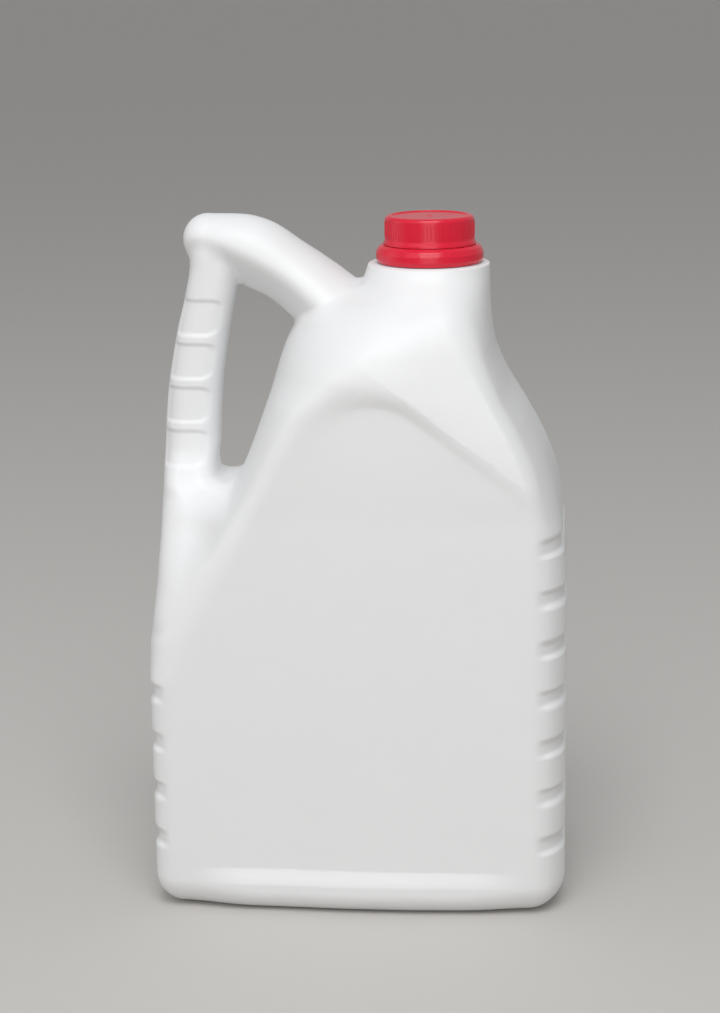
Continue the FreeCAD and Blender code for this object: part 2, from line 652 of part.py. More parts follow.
tamper_ring = turned_body("tamper_ring", [
    ("bead_radius + ring_gap", "bead_height - 0.6"), ("bead_radius - 0.8", "bead_height - 0.9"),
    ("bead_radius - 0.8", "ring_foot + 0.4"), ("bead_radius - 0.4", "ring_foot"),
    ("bead_radius + 1", "ring_foot"), ("ring_radius", "ring_foot + ring_height - 3.8"),
    ("ring_radius", "ring_foot + ring_height - 2.4"), ("ring_radius - 1", "ring_foot + ring_height - 0.7"),
    ("bead_radius + 0.2", "ring_foot + ring_height"), ("bead_radius - 1.4", "ring_foot + ring_height"),
    ("bead_radius - 1.4", "ring_foot + ring_height - 1"),
    ("bead_radius + ring_gap", "ring_foot + ring_height - 1.8")])
nib = block_feature(tamper_ring, "PartDesign::Pad", "nib", "XY_Plane",
                    ("cap_radius + cap_flare - 0.9", "cap_radius + cap_flare", "nib_half"),
                    "ring_foot + ring_height - 0.4", "nib_height + 0.4")
around(tamper_ring, nib, "nib_count")

cap_liner = turned_body("cap_liner", [
    ("0", "mouth_height + liner_play"), ("liner_radius", "mouth_height + liner_play"),
    ("liner_radius", "mouth_height + liner_play + liner_thick"),
    ("0", "mouth_height + liner_play + liner_thick")])
doc.recompute()

# ---------------------------------------------------------------- checks and files
for thing in doc.Objects:
    for bad in ("Invalid", "Error"):
        if bad in thing.State:
            raise RuntimeError(thing.Label + " is " + bad)
for node in (bottle, screw_cap, tamper_ring, cap_liner):
    shape = node.Shape
    if shape.isNull() or not shape.isValid() or len(shape.Solids) != 1:
        raise RuntimeError(node.Label + " is not one valid solid")
    shape.exportStep("parts/" + node.Label + ".step")
    print(node.Label, round(shape.Volume / 1000, 2), "cm3")
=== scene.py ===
# %% [markdown]
# # A blow-moulded jerrycan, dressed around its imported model
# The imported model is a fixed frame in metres: it gives the place and size of every piece, and which body
# each piece moves with.  Everything below is built around it.  The four CAD pieces stay in the motion
# model, and finer pieces are shown in their place.

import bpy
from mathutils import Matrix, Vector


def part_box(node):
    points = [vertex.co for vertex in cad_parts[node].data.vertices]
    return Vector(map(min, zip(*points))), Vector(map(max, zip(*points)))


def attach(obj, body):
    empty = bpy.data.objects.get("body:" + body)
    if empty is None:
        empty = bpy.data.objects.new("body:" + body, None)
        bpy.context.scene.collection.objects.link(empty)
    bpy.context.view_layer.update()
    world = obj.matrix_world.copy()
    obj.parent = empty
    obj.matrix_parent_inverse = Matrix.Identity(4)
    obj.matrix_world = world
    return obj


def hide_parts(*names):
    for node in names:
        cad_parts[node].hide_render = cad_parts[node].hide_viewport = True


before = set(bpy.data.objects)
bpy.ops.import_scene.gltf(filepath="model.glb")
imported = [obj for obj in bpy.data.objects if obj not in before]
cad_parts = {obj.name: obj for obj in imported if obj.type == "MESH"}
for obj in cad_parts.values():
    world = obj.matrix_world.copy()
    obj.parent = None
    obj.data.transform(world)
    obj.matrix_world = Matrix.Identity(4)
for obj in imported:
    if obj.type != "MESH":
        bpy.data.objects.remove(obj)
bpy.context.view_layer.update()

# %% Tools for numbers and meshes
import math

import bpy
import numpy as np
from mathutils import Matrix, Vector

MM = 0.001

# %% [markdown]
# ## Where the closure stands
# Three heights and one axis tie the blown bottle to its closure, and a fourth height is the top of the
# grip.  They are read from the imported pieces, so the bottle's collar always meets the tamper ring, and the
# cap always sits on it.  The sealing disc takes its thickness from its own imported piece.

# %% Read the closure's place
cap_low, cap_high = (np.array(corner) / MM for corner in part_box("screw_cap"))
liner_low, liner_high = (np.array(corner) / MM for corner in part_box("cap_liner"))
ring_low = np.array(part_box("tamper_ring")[0]) / MM
can_high = np.array(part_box("bottle")[1]) / MM
NECK_X = (cap_low[0] + cap_high[0]) / 2
CAP_FOOT, CAP_TOP = cap_low[2], cap_high[2]
RING_FOOT = ring_low[2]
HEAD_MARGIN = 0.2
HEAD_TOP = can_high[2] - HEAD_MARGIN
print("neck axis", round(NECK_X, 2), "cap", round(CAP_FOOT, 1), round(CAP_TOP, 1))

# %% [markdown]
# ## The finishes come first
# Three plastics make the can: satin white polyethylene, glossy red polypropylene and a soft foam disc.
# A moulded surface is never perfectly even: it has a fine grain from the mould, a slow waviness from the
# way it cooled, and faint rubs from handling.  All three plastics show them at different strengths, so
# two node groups, one for grain and waviness and one for rubs, are built once and placed in every material
# with its own values.

# %% A helper for node groups
def node_group(name, inputs, outputs):
    """An empty shader group with number inputs, and its two end nodes."""
    group = bpy.data.node_groups.new(name, "ShaderNodeTree")
    for label, value in inputs:
        socket = group.interface.new_socket(label, in_out="INPUT", socket_type="NodeSocketFloat")
        socket.default_value = value
    for label in outputs:
        group.interface.new_socket(label, in_out="OUTPUT", socket_type="NodeSocketFloat")
    return group, group.nodes.new("NodeGroupInput"), group.nodes.new("NodeGroupOutput")


def calculate(tree, operation, first, second=0.0, third=None):
    """A Math node: each operand is a number or another node's output."""
    node = tree.nodes.new("ShaderNodeMath")
    node.operation = operation
    for socket, operand in zip(node.inputs, (first, second, third)):
        if isinstance(operand, bpy.types.NodeSocket):
            tree.links.new(operand, socket)
        elif operand is not None:
            socket.default_value = operand
    return node.outputs[0]


def noise(tree, place, scale, detail=2.0, roughness=0.5):
    """A Noise texture read at a place: one number, mostly between 0 and 1."""
    node = tree.nodes.new("ShaderNodeTexNoise")
    node.inputs["Detail"].default_value = detail
    node.inputs["Roughness"].default_value = roughness
    tree.links.new(place, node.inputs["Vector"])
    if isinstance(scale, bpy.types.NodeSocket):
        tree.links.new(scale, node.inputs["Scale"])
    else:
        node.inputs["Scale"].default_value = scale
    return node.outputs["Fac"]


def object_place(tree):
    """Where the shaded point lies in the object's own axes, in metres."""
    return tree.nodes.new("ShaderNodeTexCoord").outputs["Object"]


# %% Moulded grain: height of the fine grain and of the slow waviness
grain, given, gives = node_group("moulded_grain", [("Grain scale", 900.0), ("Grain height", 0.5),
                                                   ("Wave scale", 40.0), ("Wave height", 0.5)], ["Height"])
place = object_place(grain)
fine = calculate(grain, "MULTIPLY", noise(grain, place, given.outputs["Grain scale"]),
                 given.outputs["Grain height"])
slow = calculate(grain, "MULTIPLY", noise(grain, place, given.outputs["Wave scale"], 1.0),
                 given.outputs["Wave height"])
grain.links.new(calculate(grain, "ADD", fine, slow), gives.inputs["Height"])
print("group", grain.name, "inputs", [item.name for item in grain.interface.items_tree])

# %% Handling rubs: a mask of short faint strokes, and a roughness that follows it
STROKE_TURN, STROKE_STRETCH, STROKE_DETAIL, STROKE_BREAKUP = (0.3, 0.5, 0.4), (1.0, 0.16, 1.0), 6.0, 0.65
PATCH_SCALE, PATCH_DETAIL, UNEVEN_SCALE = 14.0, 3.0, 30.0
STROKE_FLOOR, PATCH_FLOOR, MASK_CONTRAST, RUB_ROUGHER = 0.56, 0.42, 60.0, 0.12
rubs, given, gives = node_group("handling_rubs", [("Stroke scale", 60.0), ("Amount", 0.5),
                                                  ("Roughness", 0.4), ("Spread", 0.1)], ["Mask", "Roughness"])
stretch = rubs.nodes.new("ShaderNodeMapping")
stretch.inputs["Rotation"].default_value = STROKE_TURN
stretch.inputs["Scale"].default_value = STROKE_STRETCH
rubs.links.new(object_place(rubs), stretch.inputs["Vector"])
strokes = noise(rubs, stretch.outputs["Vector"], given.outputs["Stroke scale"], STROKE_DETAIL, STROKE_BREAKUP)
patches = noise(rubs, object_place(rubs), PATCH_SCALE, PATCH_DETAIL)
where_rubbed = calculate(rubs, "MULTIPLY", calculate(rubs, "SUBTRACT", strokes, STROKE_FLOOR),
                         calculate(rubs, "SUBTRACT", patches, PATCH_FLOOR))
mask = calculate(rubs, "MULTIPLY", calculate(rubs, "MAXIMUM", where_rubbed, 0.0), MASK_CONTRAST)
mask = calculate(rubs, "MULTIPLY", calculate(rubs, "MINIMUM", mask, 1.0), given.outputs["Amount"])
rubs.links.new(mask, gives.inputs["Mask"])
uneven = calculate(rubs, "SUBTRACT", noise(rubs, object_place(rubs), UNEVEN_SCALE), 0.5)
roughness = calculate(rubs, "MULTIPLY_ADD", uneven, given.outputs["Spread"], given.outputs["Roughness"])
rubs.links.new(calculate(rubs, "MULTIPLY_ADD", mask, RUB_ROUGHER, roughness), gives.inputs["Roughness"])
print("group", rubs.name)

# %% A material that carries both groups
CLOUD_SCALE = 9.0


def plastic(name, colour, deep_colour, ior, grain_sizes, rub_values, bump_distance):
    """A principled plastic: its colour varies slowly between two tones, grain goes to bump and rubs to
    roughness.  It gives the material, its Bump node and the height that feeds it."""
    material = bpy.data.materials.new(name)
    material.use_nodes = True
    tree = material.node_tree
    shader = tree.nodes["Principled BSDF"]
    shader.inputs["IOR"].default_value = ior
    grain_node = tree.nodes.new("ShaderNodeGroup")
    grain_node.node_tree = grain
    for label, value in zip(("Grain scale", "Grain height", "Wave scale", "Wave height"), grain_sizes):
        grain_node.inputs[label].default_value = value
    rub_node = tree.nodes.new("ShaderNodeGroup")
    rub_node.node_tree = rubs
    for label, value in zip(("Stroke scale", "Amount", "Roughness", "Spread"), rub_values):
        rub_node.inputs[label].default_value = value
    tone = tree.nodes.new("ShaderNodeMix")
    tone.data_type = "RGBA"
    tone.inputs["A"].default_value = (*deep_colour, 1)
    tone.inputs["B"].default_value = (*colour, 1)
    tree.links.new(noise(tree, object_place(tree), CLOUD_SCALE), tone.inputs["Factor"])
    bump = tree.nodes.new("ShaderNodeBump")
    bump.inputs["Distance"].default_value = bump_distance
    tree.links.new(grain_node.outputs["Height"], bump.inputs["Height"])
    tree.links.new(tone.outputs["Result"], shader.inputs["Base Color"])
    tree.links.new(rub_node.outputs["Roughness"], shader.inputs["Roughness"])
    tree.links.new(bump.outputs["Normal"], shader.inputs["Normal"])
    return material, bump, grain_node.outputs["Height"]


# %% [markdown]
# ### White shell
# The bottle is blown between two mould halves, so a fine raised parting line runs over it in the middle
# plane.  It is only a few tenths of a millimetre wide, finer than any mesh here, so it is added to the
# height that feeds the bump.

# %% White shell
WHITE = (0.87, 0.88, 0.89)
WHITE_DEEP = (0.85, 0.86, 0.875)
white_shell, bump, grain_height = plastic(
    "white_polyethylene", WHITE, WHITE_DEEP, ior=1.52, grain_sizes=(1400.0, 0.35, 55.0, 1.6),
    rub_values=(70.0, 0.25, 0.44, 0.1), bump_distance=0.00012)
tree = white_shell.node_tree
axes = tree.nodes.new("ShaderNodeSeparateXYZ")
tree.links.new(object_place(tree), axes.inputs[0])
PARTING_HALF, PARTING_HEIGHT = 0.00035, 0.8
off_plane = calculate(tree, "DIVIDE", calculate(tree, "ABSOLUTE", axes.outputs["Y"]), PARTING_HALF)
crest = calculate(tree, "MAXIMUM", calculate(tree, "SUBTRACT", 1.0, off_plane), 0.0)
height = calculate(tree, "MULTIPLY_ADD", crest, PARTING_HEIGHT, grain_height)
tree.links.new(height, bump.inputs["Height"])
print(white_shell.name, "parting line", 2 * PARTING_HALF / MM, "mm wide")

# %% [markdown]
# ### Red closure and sealing foam
# Cap and ring come out of a polished mould: the red is smooth and shiny, with only a little waviness.
# The foam disc is matt, and its grain is coarser because it is made of tiny bubbles.

# %% Red closure and foam
RED, RED_DEEP = (0.76, 0.009, 0.04), (0.70, 0.007, 0.034)
FOAM, FOAM_DEEP = (0.84, 0.84, 0.82), (0.78, 0.78, 0.75)
red_closure = plastic("red_polypropylene", RED, RED_DEEP, ior=1.5, grain_sizes=(1100.0, 0.25, 120.0, 0.7),
                      rub_values=(90.0, 0.3, 0.22, 0.06), bump_distance=0.00008)[0]
seal_foam = plastic("foam_disc", FOAM, FOAM_DEEP, ior=1.5, grain_sizes=(2600.0, 1.0, 300.0, 0.6),
                    rub_values=(80.0, 0.1, 0.75, 0.1), bump_distance=0.00015)[0]
print("materials", [material.name for material in (white_shell, red_closure, seal_foam)])

# %% [markdown]
# ## The bottle as a distance field
# A blown bottle has no sharp joints: the grip flows into the body, the arm over the finger hole flows into
# the shoulder, and the label panel dips in with a soft step.  Lofts meet in hard lines there, and a
# subdivision cage would need every blend placed by hand.  A distance field suits it: each form is a small
# function that says how far a point lies outside it, forms are joined with a soft minimum whose radius is
# the blend, and the skin is where the answer is zero.  All lengths below are millimetres.

# %% Guide curves
def guide(*points):
    """A smooth curve through a few (share, value) points, without overshoot."""
    at, value = np.array(points, dtype=float).T
    rise = np.diff(value) / np.diff(at)
    before, after = rise[:-1], rise[1:]
    same = before * after > 0
    inner = np.zeros(len(before))
    inner[same] = 2 * before[same] * after[same] / (before[same] + after[same])
    slope = np.concatenate([rise[:1], inner, rise[-1:]])

    def read(share):
        i = np.clip(np.searchsorted(at, share, side="right") - 1, 0, len(at) - 2)
        span = at[i + 1] - at[i]
        u = np.clip((share - at[i]) / span, 0, 1)
        start = (1 + 2 * u) * (1 - u) ** 2 * value[i] + u * (1 - u) ** 2 * span * slope[i]
        end = u * u * (3 - 2 * u) * value[i + 1] - u * u * (1 - u) * span * slope[i + 1]
        return start + end
    return read


# %% Blends, edges and an ellipse
TINY = 1e-9


def mix(start, end, share):
    """start at share 0, end at share 1."""
    return start + (end - start) * share


def ease(low, high, at):
    """0 below low, 1 above high, smooth between."""
    share = np.clip((at - low) / (high - low), 0, 1)
    return share * share * (3 - 2 * share)


def join(first, second, blend):
    """Both forms, with a fillet about as large as blend."""
    near = np.maximum(blend - np.abs(first - second), 0)
    return np.minimum(first, second) - near * near / (4 * blend)


def meet(first, second, blend):
    """What the two forms share, with the edge between them eased over blend."""
    near = np.maximum(blend - np.abs(first - second), 0)
    return np.maximum(first, second) + near * near / (4 * blend)


def round_edge(side, end, radius):
    """What two square faces share, with a true radius on their edge."""
    inner = np.minimum(np.maximum(side + radius, end + radius), 0)
    return np.hypot(np.maximum(side + radius, 0), np.maximum(end + radius, 0)) - radius + inner


def ellipse(across, along, half_across, half_along):
    """About how far a point lies outside an ellipse."""
    k0 = np.sqrt((across / half_across) ** 2 + (along / half_along) ** 2)
    k1 = np.sqrt((across / half_across ** 2) ** 2 + (along / half_along ** 2) ** 2) + TINY
    return k0 * (k0 - 1) / k1


# %% A rounded section with its own straight stretches
LEAST_CORNER, HAIR = 0.5, 1e-6


def section(x, y, left, right, flat_left, flat_right, half_depth, left_straight, right_straight):
    """Distance from a closed section: four straights joined by four elliptic corners."""
    y = np.abs(y)
    on_right = x > (flat_left + flat_right) / 2
    past_flat = np.where(on_right, x - flat_right, flat_left - x)
    corner_wide = np.maximum(np.where(on_right, right - flat_right, flat_left - left), LEAST_CORNER)
    straight = np.where(on_right, right_straight, left_straight)
    past_straight = y - straight
    corner_deep = np.maximum(half_depth - straight, LEAST_CORNER)
    corner = ellipse(np.maximum(past_flat, HAIR), np.maximum(past_straight, HAIR), corner_wide, corner_deep)
    flats = np.maximum(past_flat - corner_wide, past_straight - corner_deep)
    return np.where((past_flat > 0) & (past_straight > 0), corner, flats)


# %% [markdown]
# ### Trunk and shoulder
# The trunk is an upright box with rounded corners up to the height where the grip side starts to lean in.
# From there a handful of guide curves carry each edge of the section to the round collar, and let the
# front and back swell into a hood over the label.

# %% Trunk sizes
HALF_WIDTH, HALF_DEPTH = 95.0, 62.5
GRIP_CORNER, NECK_CORNER = (13.0, 16.0), (17.0, 24.0)
SLOPE_START, COLLAR_TOP, COLLAR_RADIUS, COLLAR_FLAT = 110.0, 295.0, 27.3, 0.3
HOOD_PROUD = 3.4
FOOT_LOW, FOOT_TOP, FOOT_PROUD, FOOT_EASE, FOOT_FADE = 14.0, 21.2, 2.9, 0.25, (50, 80)
print("body", 2 * HALF_WIDTH, "by", 2 * HALF_DEPTH, "mm, sloping in from", SLOPE_START, "to", COLLAR_TOP)

# %% Guide curves of the trunk, by share of the height from the slope's start to the collar's top
RIGHT_EDGE = guide((0, 0), (0.2, 0), (0.33, 0.035), (0.43, 0.115), (0.52, 0.26), (0.61, 0.5), (0.7, 0.77),
                   (0.8, 0.94), (0.9, 0.99), (1, 1))
LEFT_EDGE = guide((0, 0), (0.08, 0), (0.16, 0.05), (0.27, 0.161), (0.378, 0.281), (0.476, 0.397),
                  (0.66, 0.528), (0.8, 0.613), (0.86, 0.68), (0.9, 0.8), (0.925, 0.92), (0.95, 0.967), (1, 1))
RIGHT_FLAT = guide((0, 0), (0.38, 0), (0.476, 0.04), (0.568, 0.15), (0.66, 0.34), (0.77, 0.6), (0.87, 0.82),
                   (1, 1))
LEFT_FLAT = guide((0, 0), (0.135, 0.105), (0.27, 0.222), (0.476, 0.392), (0.66, 0.575), (0.74, 0.723),
                  (1, 1))
HOOD = guide((0, 0), (0.39, 0), (0.48, 0.3), (0.59, 0.75), (0.7, 1), (1, 1))
FUNNEL = guide((0, 0), (0.68, 0), (0.74, 0.02), (0.8, 0.13), (0.865, 0.38), (0.93, 0.72), (0.97, 0.92),
               (1, 1))
RIGHT_STRAIGHT = guide((0, 1), (0.33, 1), (0.43, 0.75), (0.52, 0.45), (0.61, 0.2), (0.74, 0), (1, 0))
LEFT_STRAIGHT = guide((0, 1), (0.135, 0.8), (0.378, 0.36), (0.57, 0.12), (0.74, 0), (1, 0))

# %% Trunk
def foot_band(x, z):
    """How far the foot band stands out of a label face: it fades before the corners."""
    down = np.clip((FOOT_TOP - z) / (FOOT_TOP - FOOT_LOW), 0, 1)
    return FOOT_PROUD * mix(down, ease(0, 1, down), FOOT_EASE) * (1 - ease(*FOOT_FADE, np.abs(x)))


def trunk(x, y, z):
    """The body from the base to the collar, without notches or label."""
    share = (z - SLOPE_START) / (COLLAR_TOP - SLOPE_START)
    right = mix(HALF_WIDTH, NECK_X + COLLAR_RADIUS, RIGHT_EDGE(share))
    left = mix(-HALF_WIDTH, NECK_X - COLLAR_RADIUS, LEFT_EDGE(share))
    flat_right = mix(HALF_WIDTH - NECK_CORNER[0], NECK_X + COLLAR_FLAT, RIGHT_FLAT(share))
    flat_left = mix(GRIP_CORNER[0] - HALF_WIDTH, NECK_X - COLLAR_FLAT, LEFT_FLAT(share))
    half_depth = mix(HALF_DEPTH + HOOD_PROUD * HOOD(share), COLLAR_RADIUS, FUNNEL(share))
    return section(x, y, left, right, flat_left, flat_right, half_depth + foot_band(x, z),
                   (HALF_DEPTH - GRIP_CORNER[1]) * LEFT_STRAIGHT(share),
                   (HALF_DEPTH - NECK_CORNER[1]) * RIGHT_STRAIGHT(share))


# %% [markdown]
# ### Label panel
# Each broad face carries a bare panel under a round-topped arch.  Above the arch the skin steps out into
# the hood and then leans back towards the neck.  The arch is two straight slopes with an arc between them,
# so a few lines of plain geometry give the distance from it, and the step is a ramp along that distance.

# %% The arch
ARCH_LEFT, ARCH_RIGHT, ARCH_RADIUS = math.radians(60.6), math.radians(38.9), 36.0
ARCH_PEAK = (NECK_X - 34.5, COLLAR_TOP - 32.6)


def past_arch(x, z):
    """Signed distance from the label's arch: below zero on the label."""
    up_left = (-math.sin(ARCH_LEFT), math.cos(ARCH_LEFT))
    up_right = (math.sin(ARCH_RIGHT), math.cos(ARCH_RIGHT))
    past_left = (x - ARCH_PEAK[0]) * up_left[0] + (z - ARCH_PEAK[1]) * up_left[1]
    past_right = (x - ARCH_PEAK[0]) * up_right[0] + (z - ARCH_PEAK[1]) * up_right[1]
    half = (math.pi - ARCH_LEFT - ARCH_RIGHT) / 2
    lean = (ARCH_LEFT - ARCH_RIGHT) / 2
    drop = ARCH_RADIUS / math.sin(half)
    from_x = x - ARCH_PEAK[0] - math.sin(lean) * drop
    from_z = z - ARCH_PEAK[1] + math.cos(lean) * drop
    under_left = up_left[0] * from_z - up_left[1] * from_x <= 0
    under_right = up_right[0] * from_z - up_right[1] * from_x >= 0
    return np.where(under_left & under_right, np.hypot(from_x, from_z) - ARCH_RADIUS,
                    np.maximum(past_left, past_right))


print("arch peak at", np.round(ARCH_PEAK, 1))

# %% The two faces that the arch parts
STEP_STEEP = guide((-99, 0.02), (-62, 0.025), (-35, 0.075), (-12, 0.2), (8, 0.34), (24, 0.42), (62, 0.42),
                   (78, 0.32), (99, 0.2))
STEP_START = guide((-99, -7), (-25, -7), (10, -6.2), (30, -5.2), (60, -4.4), (99, -4.2))
STEP_KNEE, LABEL_BLEND, GRIP_TO_LABEL, PANEL_SUNK = (4.0, 0.3), (10.0, 1.7), (-50, 5), 0.05
CREST_AT, CREST_FALL, BROW_LEAN, BROW_SUNK = (24.5, 240.4), math.radians(37.2), 0.45, 0.2


def label_face(x, y, z):
    """The label panel: flat under the arch, then a step outwards that fades on the grip side."""
    ramp = STEP_STEEP(x) * (past_arch(x, z) - STEP_START(x))
    lift = 0.5 * (ramp + np.sqrt(ramp * ramp + mix(*STEP_KNEE, ease(*GRIP_TO_LABEL, x))))
    return np.abs(y) - (HALF_DEPTH - PANEL_SUNK + lift + foot_band(x, z))


def brow(x, y, z):
    """Above a crest that falls from the arm to the neck-side corner, the hood leans back."""
    above = (x - CREST_AT[0]) * math.sin(CREST_FALL) + (z - CREST_AT[1]) * math.cos(CREST_FALL)
    return np.abs(y) - (HALF_DEPTH + HOOD_PROUD - BROW_SUNK - BROW_LEAN * np.maximum(above, 0))


# %% [markdown]
# ### Grip, arm and finger hole
# The grip is an upright bar whose width and depth follow guide curves up from the root.  The arm that
# closes the finger hole has an elliptic section along one smooth curve, which is found again for each
# point: the nearest of a few samples first, then a few Newton steps.

# %% Guide curves of the grip, by share of the height from the finger hole's foot to the head's top
HOLE_FOOT = 196.9
GRIP_SET_IN = guide((-0.66, 3.4), (-0.61, 1.4), (-0.55, 1.1), (-0.46, 1.9), (-0.351, 2.8), (-0.225, 2.8),
                    (-0.03, 2.9), (0.143, 3.6), (0.3, 5.2), (0.53, 10), (0.7, 15), (0.8, 17.1), (0.95, 17.6))
GRIP_WIDTH = guide((-0.66, 84), (-0.42, 76), (-0.24, 64), (-0.14, 56), (-0.09, 47), (-0.065, 37),
                   (-0.045, 29), (-0.03, 25.8), (-0.01, 24.2), (0.03, 23.9), (0.12, 24.8), (0.45, 24.0),
                   (0.7, 22.6), (0.95, 22.0))
GRIP_SPREAD = guide((-0.66, 3.2), (-0.6, 3.65), (-0.52, 3.8), (-0.38, 3.45), (-0.25, 2.75), (-0.12, 2.05),
                    (0, 1.4), (0.1, 1.08), (0.25, 1), (0.88, 0.98))
GRIP_SQUARE = guide((-0.66, 0.8), (-0.2, 0.55), (-0.03, 0.4), (0.15, 0.22), (0.88, 0.2))

# %% The grip with its pressed pads
GRIP_HALF_DEPTH, GRIP_FOOT, GRIP_END, GRIP_END_ROUND = 14.5, 118, 309, 12
PAD_COUNT, PAD_PITCH, PAD_FIRST, PAD_TALL, PAD_DEPTH, PAD_ROUND = 4, 20.1, 208.9, 17.8, 0.85, 4.0
PAD_INNER_MARGIN, PAD_SLOPE, PAD_LIP = 2.6, 2.2, 0.2
PAD_SIDE_SOFT, PAD_OUTER_SOFT, PAD_FADE = 0.6, 2.5, (2, 6)


def pads(x, y, z, left, right):
    """Depth of the pressed pads: rounded windows on both faces of the grip."""
    nearest = np.clip(np.round((z - PAD_FIRST) / PAD_PITCH), 0, PAD_COUNT - 1)
    up = np.abs(z - PAD_FIRST - nearest * PAD_PITCH) - PAD_TALL / 2
    side = PAD_SIDE_SOFT * (x - (right - PAD_INNER_MARGIN))
    window = round_edge(side, up, PAD_ROUND)
    outer = ease(0, PAD_OUTER_SOFT, x - left)
    return PAD_DEPTH * (1 - ease(-PAD_SLOPE, PAD_LIP, window)) * outer * ease(*PAD_FADE, np.abs(y))


def grip(x, y, z):
    """The upright bar from its root in the trunk to the head, with the pads pressed in."""
    share = (z - HOLE_FOOT) / (HEAD_TOP - HOLE_FOOT)
    left = -HALF_WIDTH + GRIP_SET_IN(share)
    width = GRIP_WIDTH(share)
    half = GRIP_HALF_DEPTH * GRIP_SPREAD(share)
    square = GRIP_SQUARE(share)
    middle = left + width / 2
    flat = width / 2 * square
    bar = section(x, y, left, left + width, middle - flat, middle + flat, half, half * square, half * square)
    bar = bar + pads(x, y, z, left, left + width)
    return np.maximum(round_edge(bar, z - GRIP_END, GRIP_END_ROUND), GRIP_FOOT - z)


print(PAD_COUNT, "pads on each face of the grip,", PAD_PITCH, "mm apart")

# %% The arm's centre line and its sizes along it
HEAD_RADIUS, HEAD_HALF_DEPTH, HEAD_SET_IN, HEAD_DROP = 11.5, 14.5, 25.5, 12.2
HEAD = np.array([-HALF_WIDTH + HEAD_SET_IN, HEAD_TOP - HEAD_DROP])
ARM_FOOT = np.array([NECK_X - 36.8, COLLAR_TOP - 31])
ARM_REACH = ARM_FOOT - HEAD
ARM_POLES = np.array([HEAD, HEAD + [0.36 * ARM_REACH[0], -4.0],
                      ARM_FOOT - [0.26 * ARM_REACH[0], 0.5 * ARM_REACH[1]], ARM_FOOT])
BEZIER_TO_POWERS = np.array([[1, 0, 0, 0], [-3, 3, 0, 0], [3, -6, 3, 0], [-1, 3, -3, 1]])
ARM_POWERS = BEZIER_TO_POWERS @ ARM_POLES
ARM_HALF_HEIGHT = guide((0, HEAD_RADIUS), (0.05, 12.3), (0.12, 13.7), (0.22, 15.6), (0.32, 16.3),
                        (0.52, 15.0), (0.75, 15.8), (1, 18))
ARM_HALF_DEPTH = guide((0, HEAD_HALF_DEPTH), (0.1, 16.6), (0.25, 18.8), (0.5, 21), (0.75, 26), (1, 33))
BELLY_SIDE, BELLY_DOWN, BELLY_OUT, BELLY_BLEND = 0.62, 0.785, 0.70, 3.8
print("arm from", HEAD.round(1), "to", ARM_FOOT.round(1))

# %% The arm over the finger hole
FIRST_TRIES, NEWTON_STEPS, LEAST_BEND = 9, 4, 200


def along_arm(x, z):
    """Where on the arm's centre line a point is nearest, how far off it lies, and how far above."""
    a, b, c, d = ARM_POWERS

    def gap_at(share):
        return [p - a[k] - share * (b[k] + share * (c[k] + share * d[k])) for k, p in enumerate((x, z))]

    def speed_at(share):
        return [b[k] + share * (2 * c[k] + 3 * share * d[k]) for k in (0, 1)]

    share = np.zeros(np.shape(x))
    nearest = np.full(np.shape(x), np.inf)
    for start in np.linspace(0, 1, FIRST_TRIES):
        gap = gap_at(start)
        far = gap[0] ** 2 + gap[1] ** 2
        share = np.where(far < nearest, start, share)
        nearest = np.minimum(far, nearest)
    for _ in range(NEWTON_STEPS):
        gap, speed = gap_at(share), speed_at(share)
        turn = [2 * c[k] + 6 * share * d[k] for k in (0, 1)]
        pull = gap[0] * speed[0] + gap[1] * speed[1]
        bend = speed[0] ** 2 + speed[1] ** 2 - gap[0] * turn[0] - gap[1] * turn[1]
        share = np.clip(share + pull / np.maximum(bend, LEAST_BEND), 0, 1)
    gap, speed = gap_at(share), speed_at(share)
    above = (gap[1] * speed[0] - gap[0] * speed[1]) / np.hypot(speed[0], speed[1])
    return share, np.hypot(gap[0], gap[1]), above


def arm(place, y):
    """An ellipse along the arm, with its underside drawn in to a narrower belly."""
    share, off, above = place
    body = ellipse(off, y, ARM_HALF_HEIGHT(share), ARM_HALF_DEPTH(share))
    belly = np.abs(y) * BELLY_SIDE - above * BELLY_DOWN - BELLY_OUT * ARM_HALF_DEPTH(share)
    return meet(body, belly, BELLY_BLEND)


# %% [markdown]
# ### Notches and base
# Both narrow sides carry shallow notches that fingers find when the can is tipped.  They are wrapped
# round the corners and fade out before the label.  The base stands on a ring: its middle is pushed up so
# that the can does not rock.

# %% Notches and base
NOTCH_PITCH, NOTCH_FIRST, NOTCH_HALF, NOTCH_DEPTH, NOTCH_SLOPE = 23.25, 34.0, 5.0, 1.6, 3.2
NOTCHES_NECK_SIDE, NOTCHES_GRIP_SIDE = 7, 4
NECK_SIDE_FADE, GRIP_SIDE_FADE = (80.5, 87), (86, 91)
STAND_RING, PUSHUP_DEPTH, PUSHUP_RUN = 19.0, 3.0, 9.0


def notches(x, z):
    """How deep the skin is pressed in on the narrow sides."""
    count = np.where(x > 0, NOTCHES_NECK_SIDE, NOTCHES_GRIP_SIDE)
    nearest = np.clip(np.round((z - NOTCH_FIRST) / NOTCH_PITCH), 0, count - 1)
    up = np.abs(z - NOTCH_FIRST - nearest * NOTCH_PITCH)
    fade = np.where(x > 0, ease(*NECK_SIDE_FADE, x), ease(*GRIP_SIDE_FADE, -x))
    return NOTCH_DEPTH * (1 - ease(NOTCH_HALF - NOTCH_SLOPE, NOTCH_HALF, up)) * fade


def base_height(x, y):
    """Height of the underside: zero on the ring the can stands on, pushed up inside it."""
    inside = np.minimum(HALF_WIDTH - STAND_RING - np.abs(x), HALF_DEPTH - STAND_RING - np.abs(y))
    return PUSHUP_DEPTH * ease(0, PUSHUP_RUN, inside)


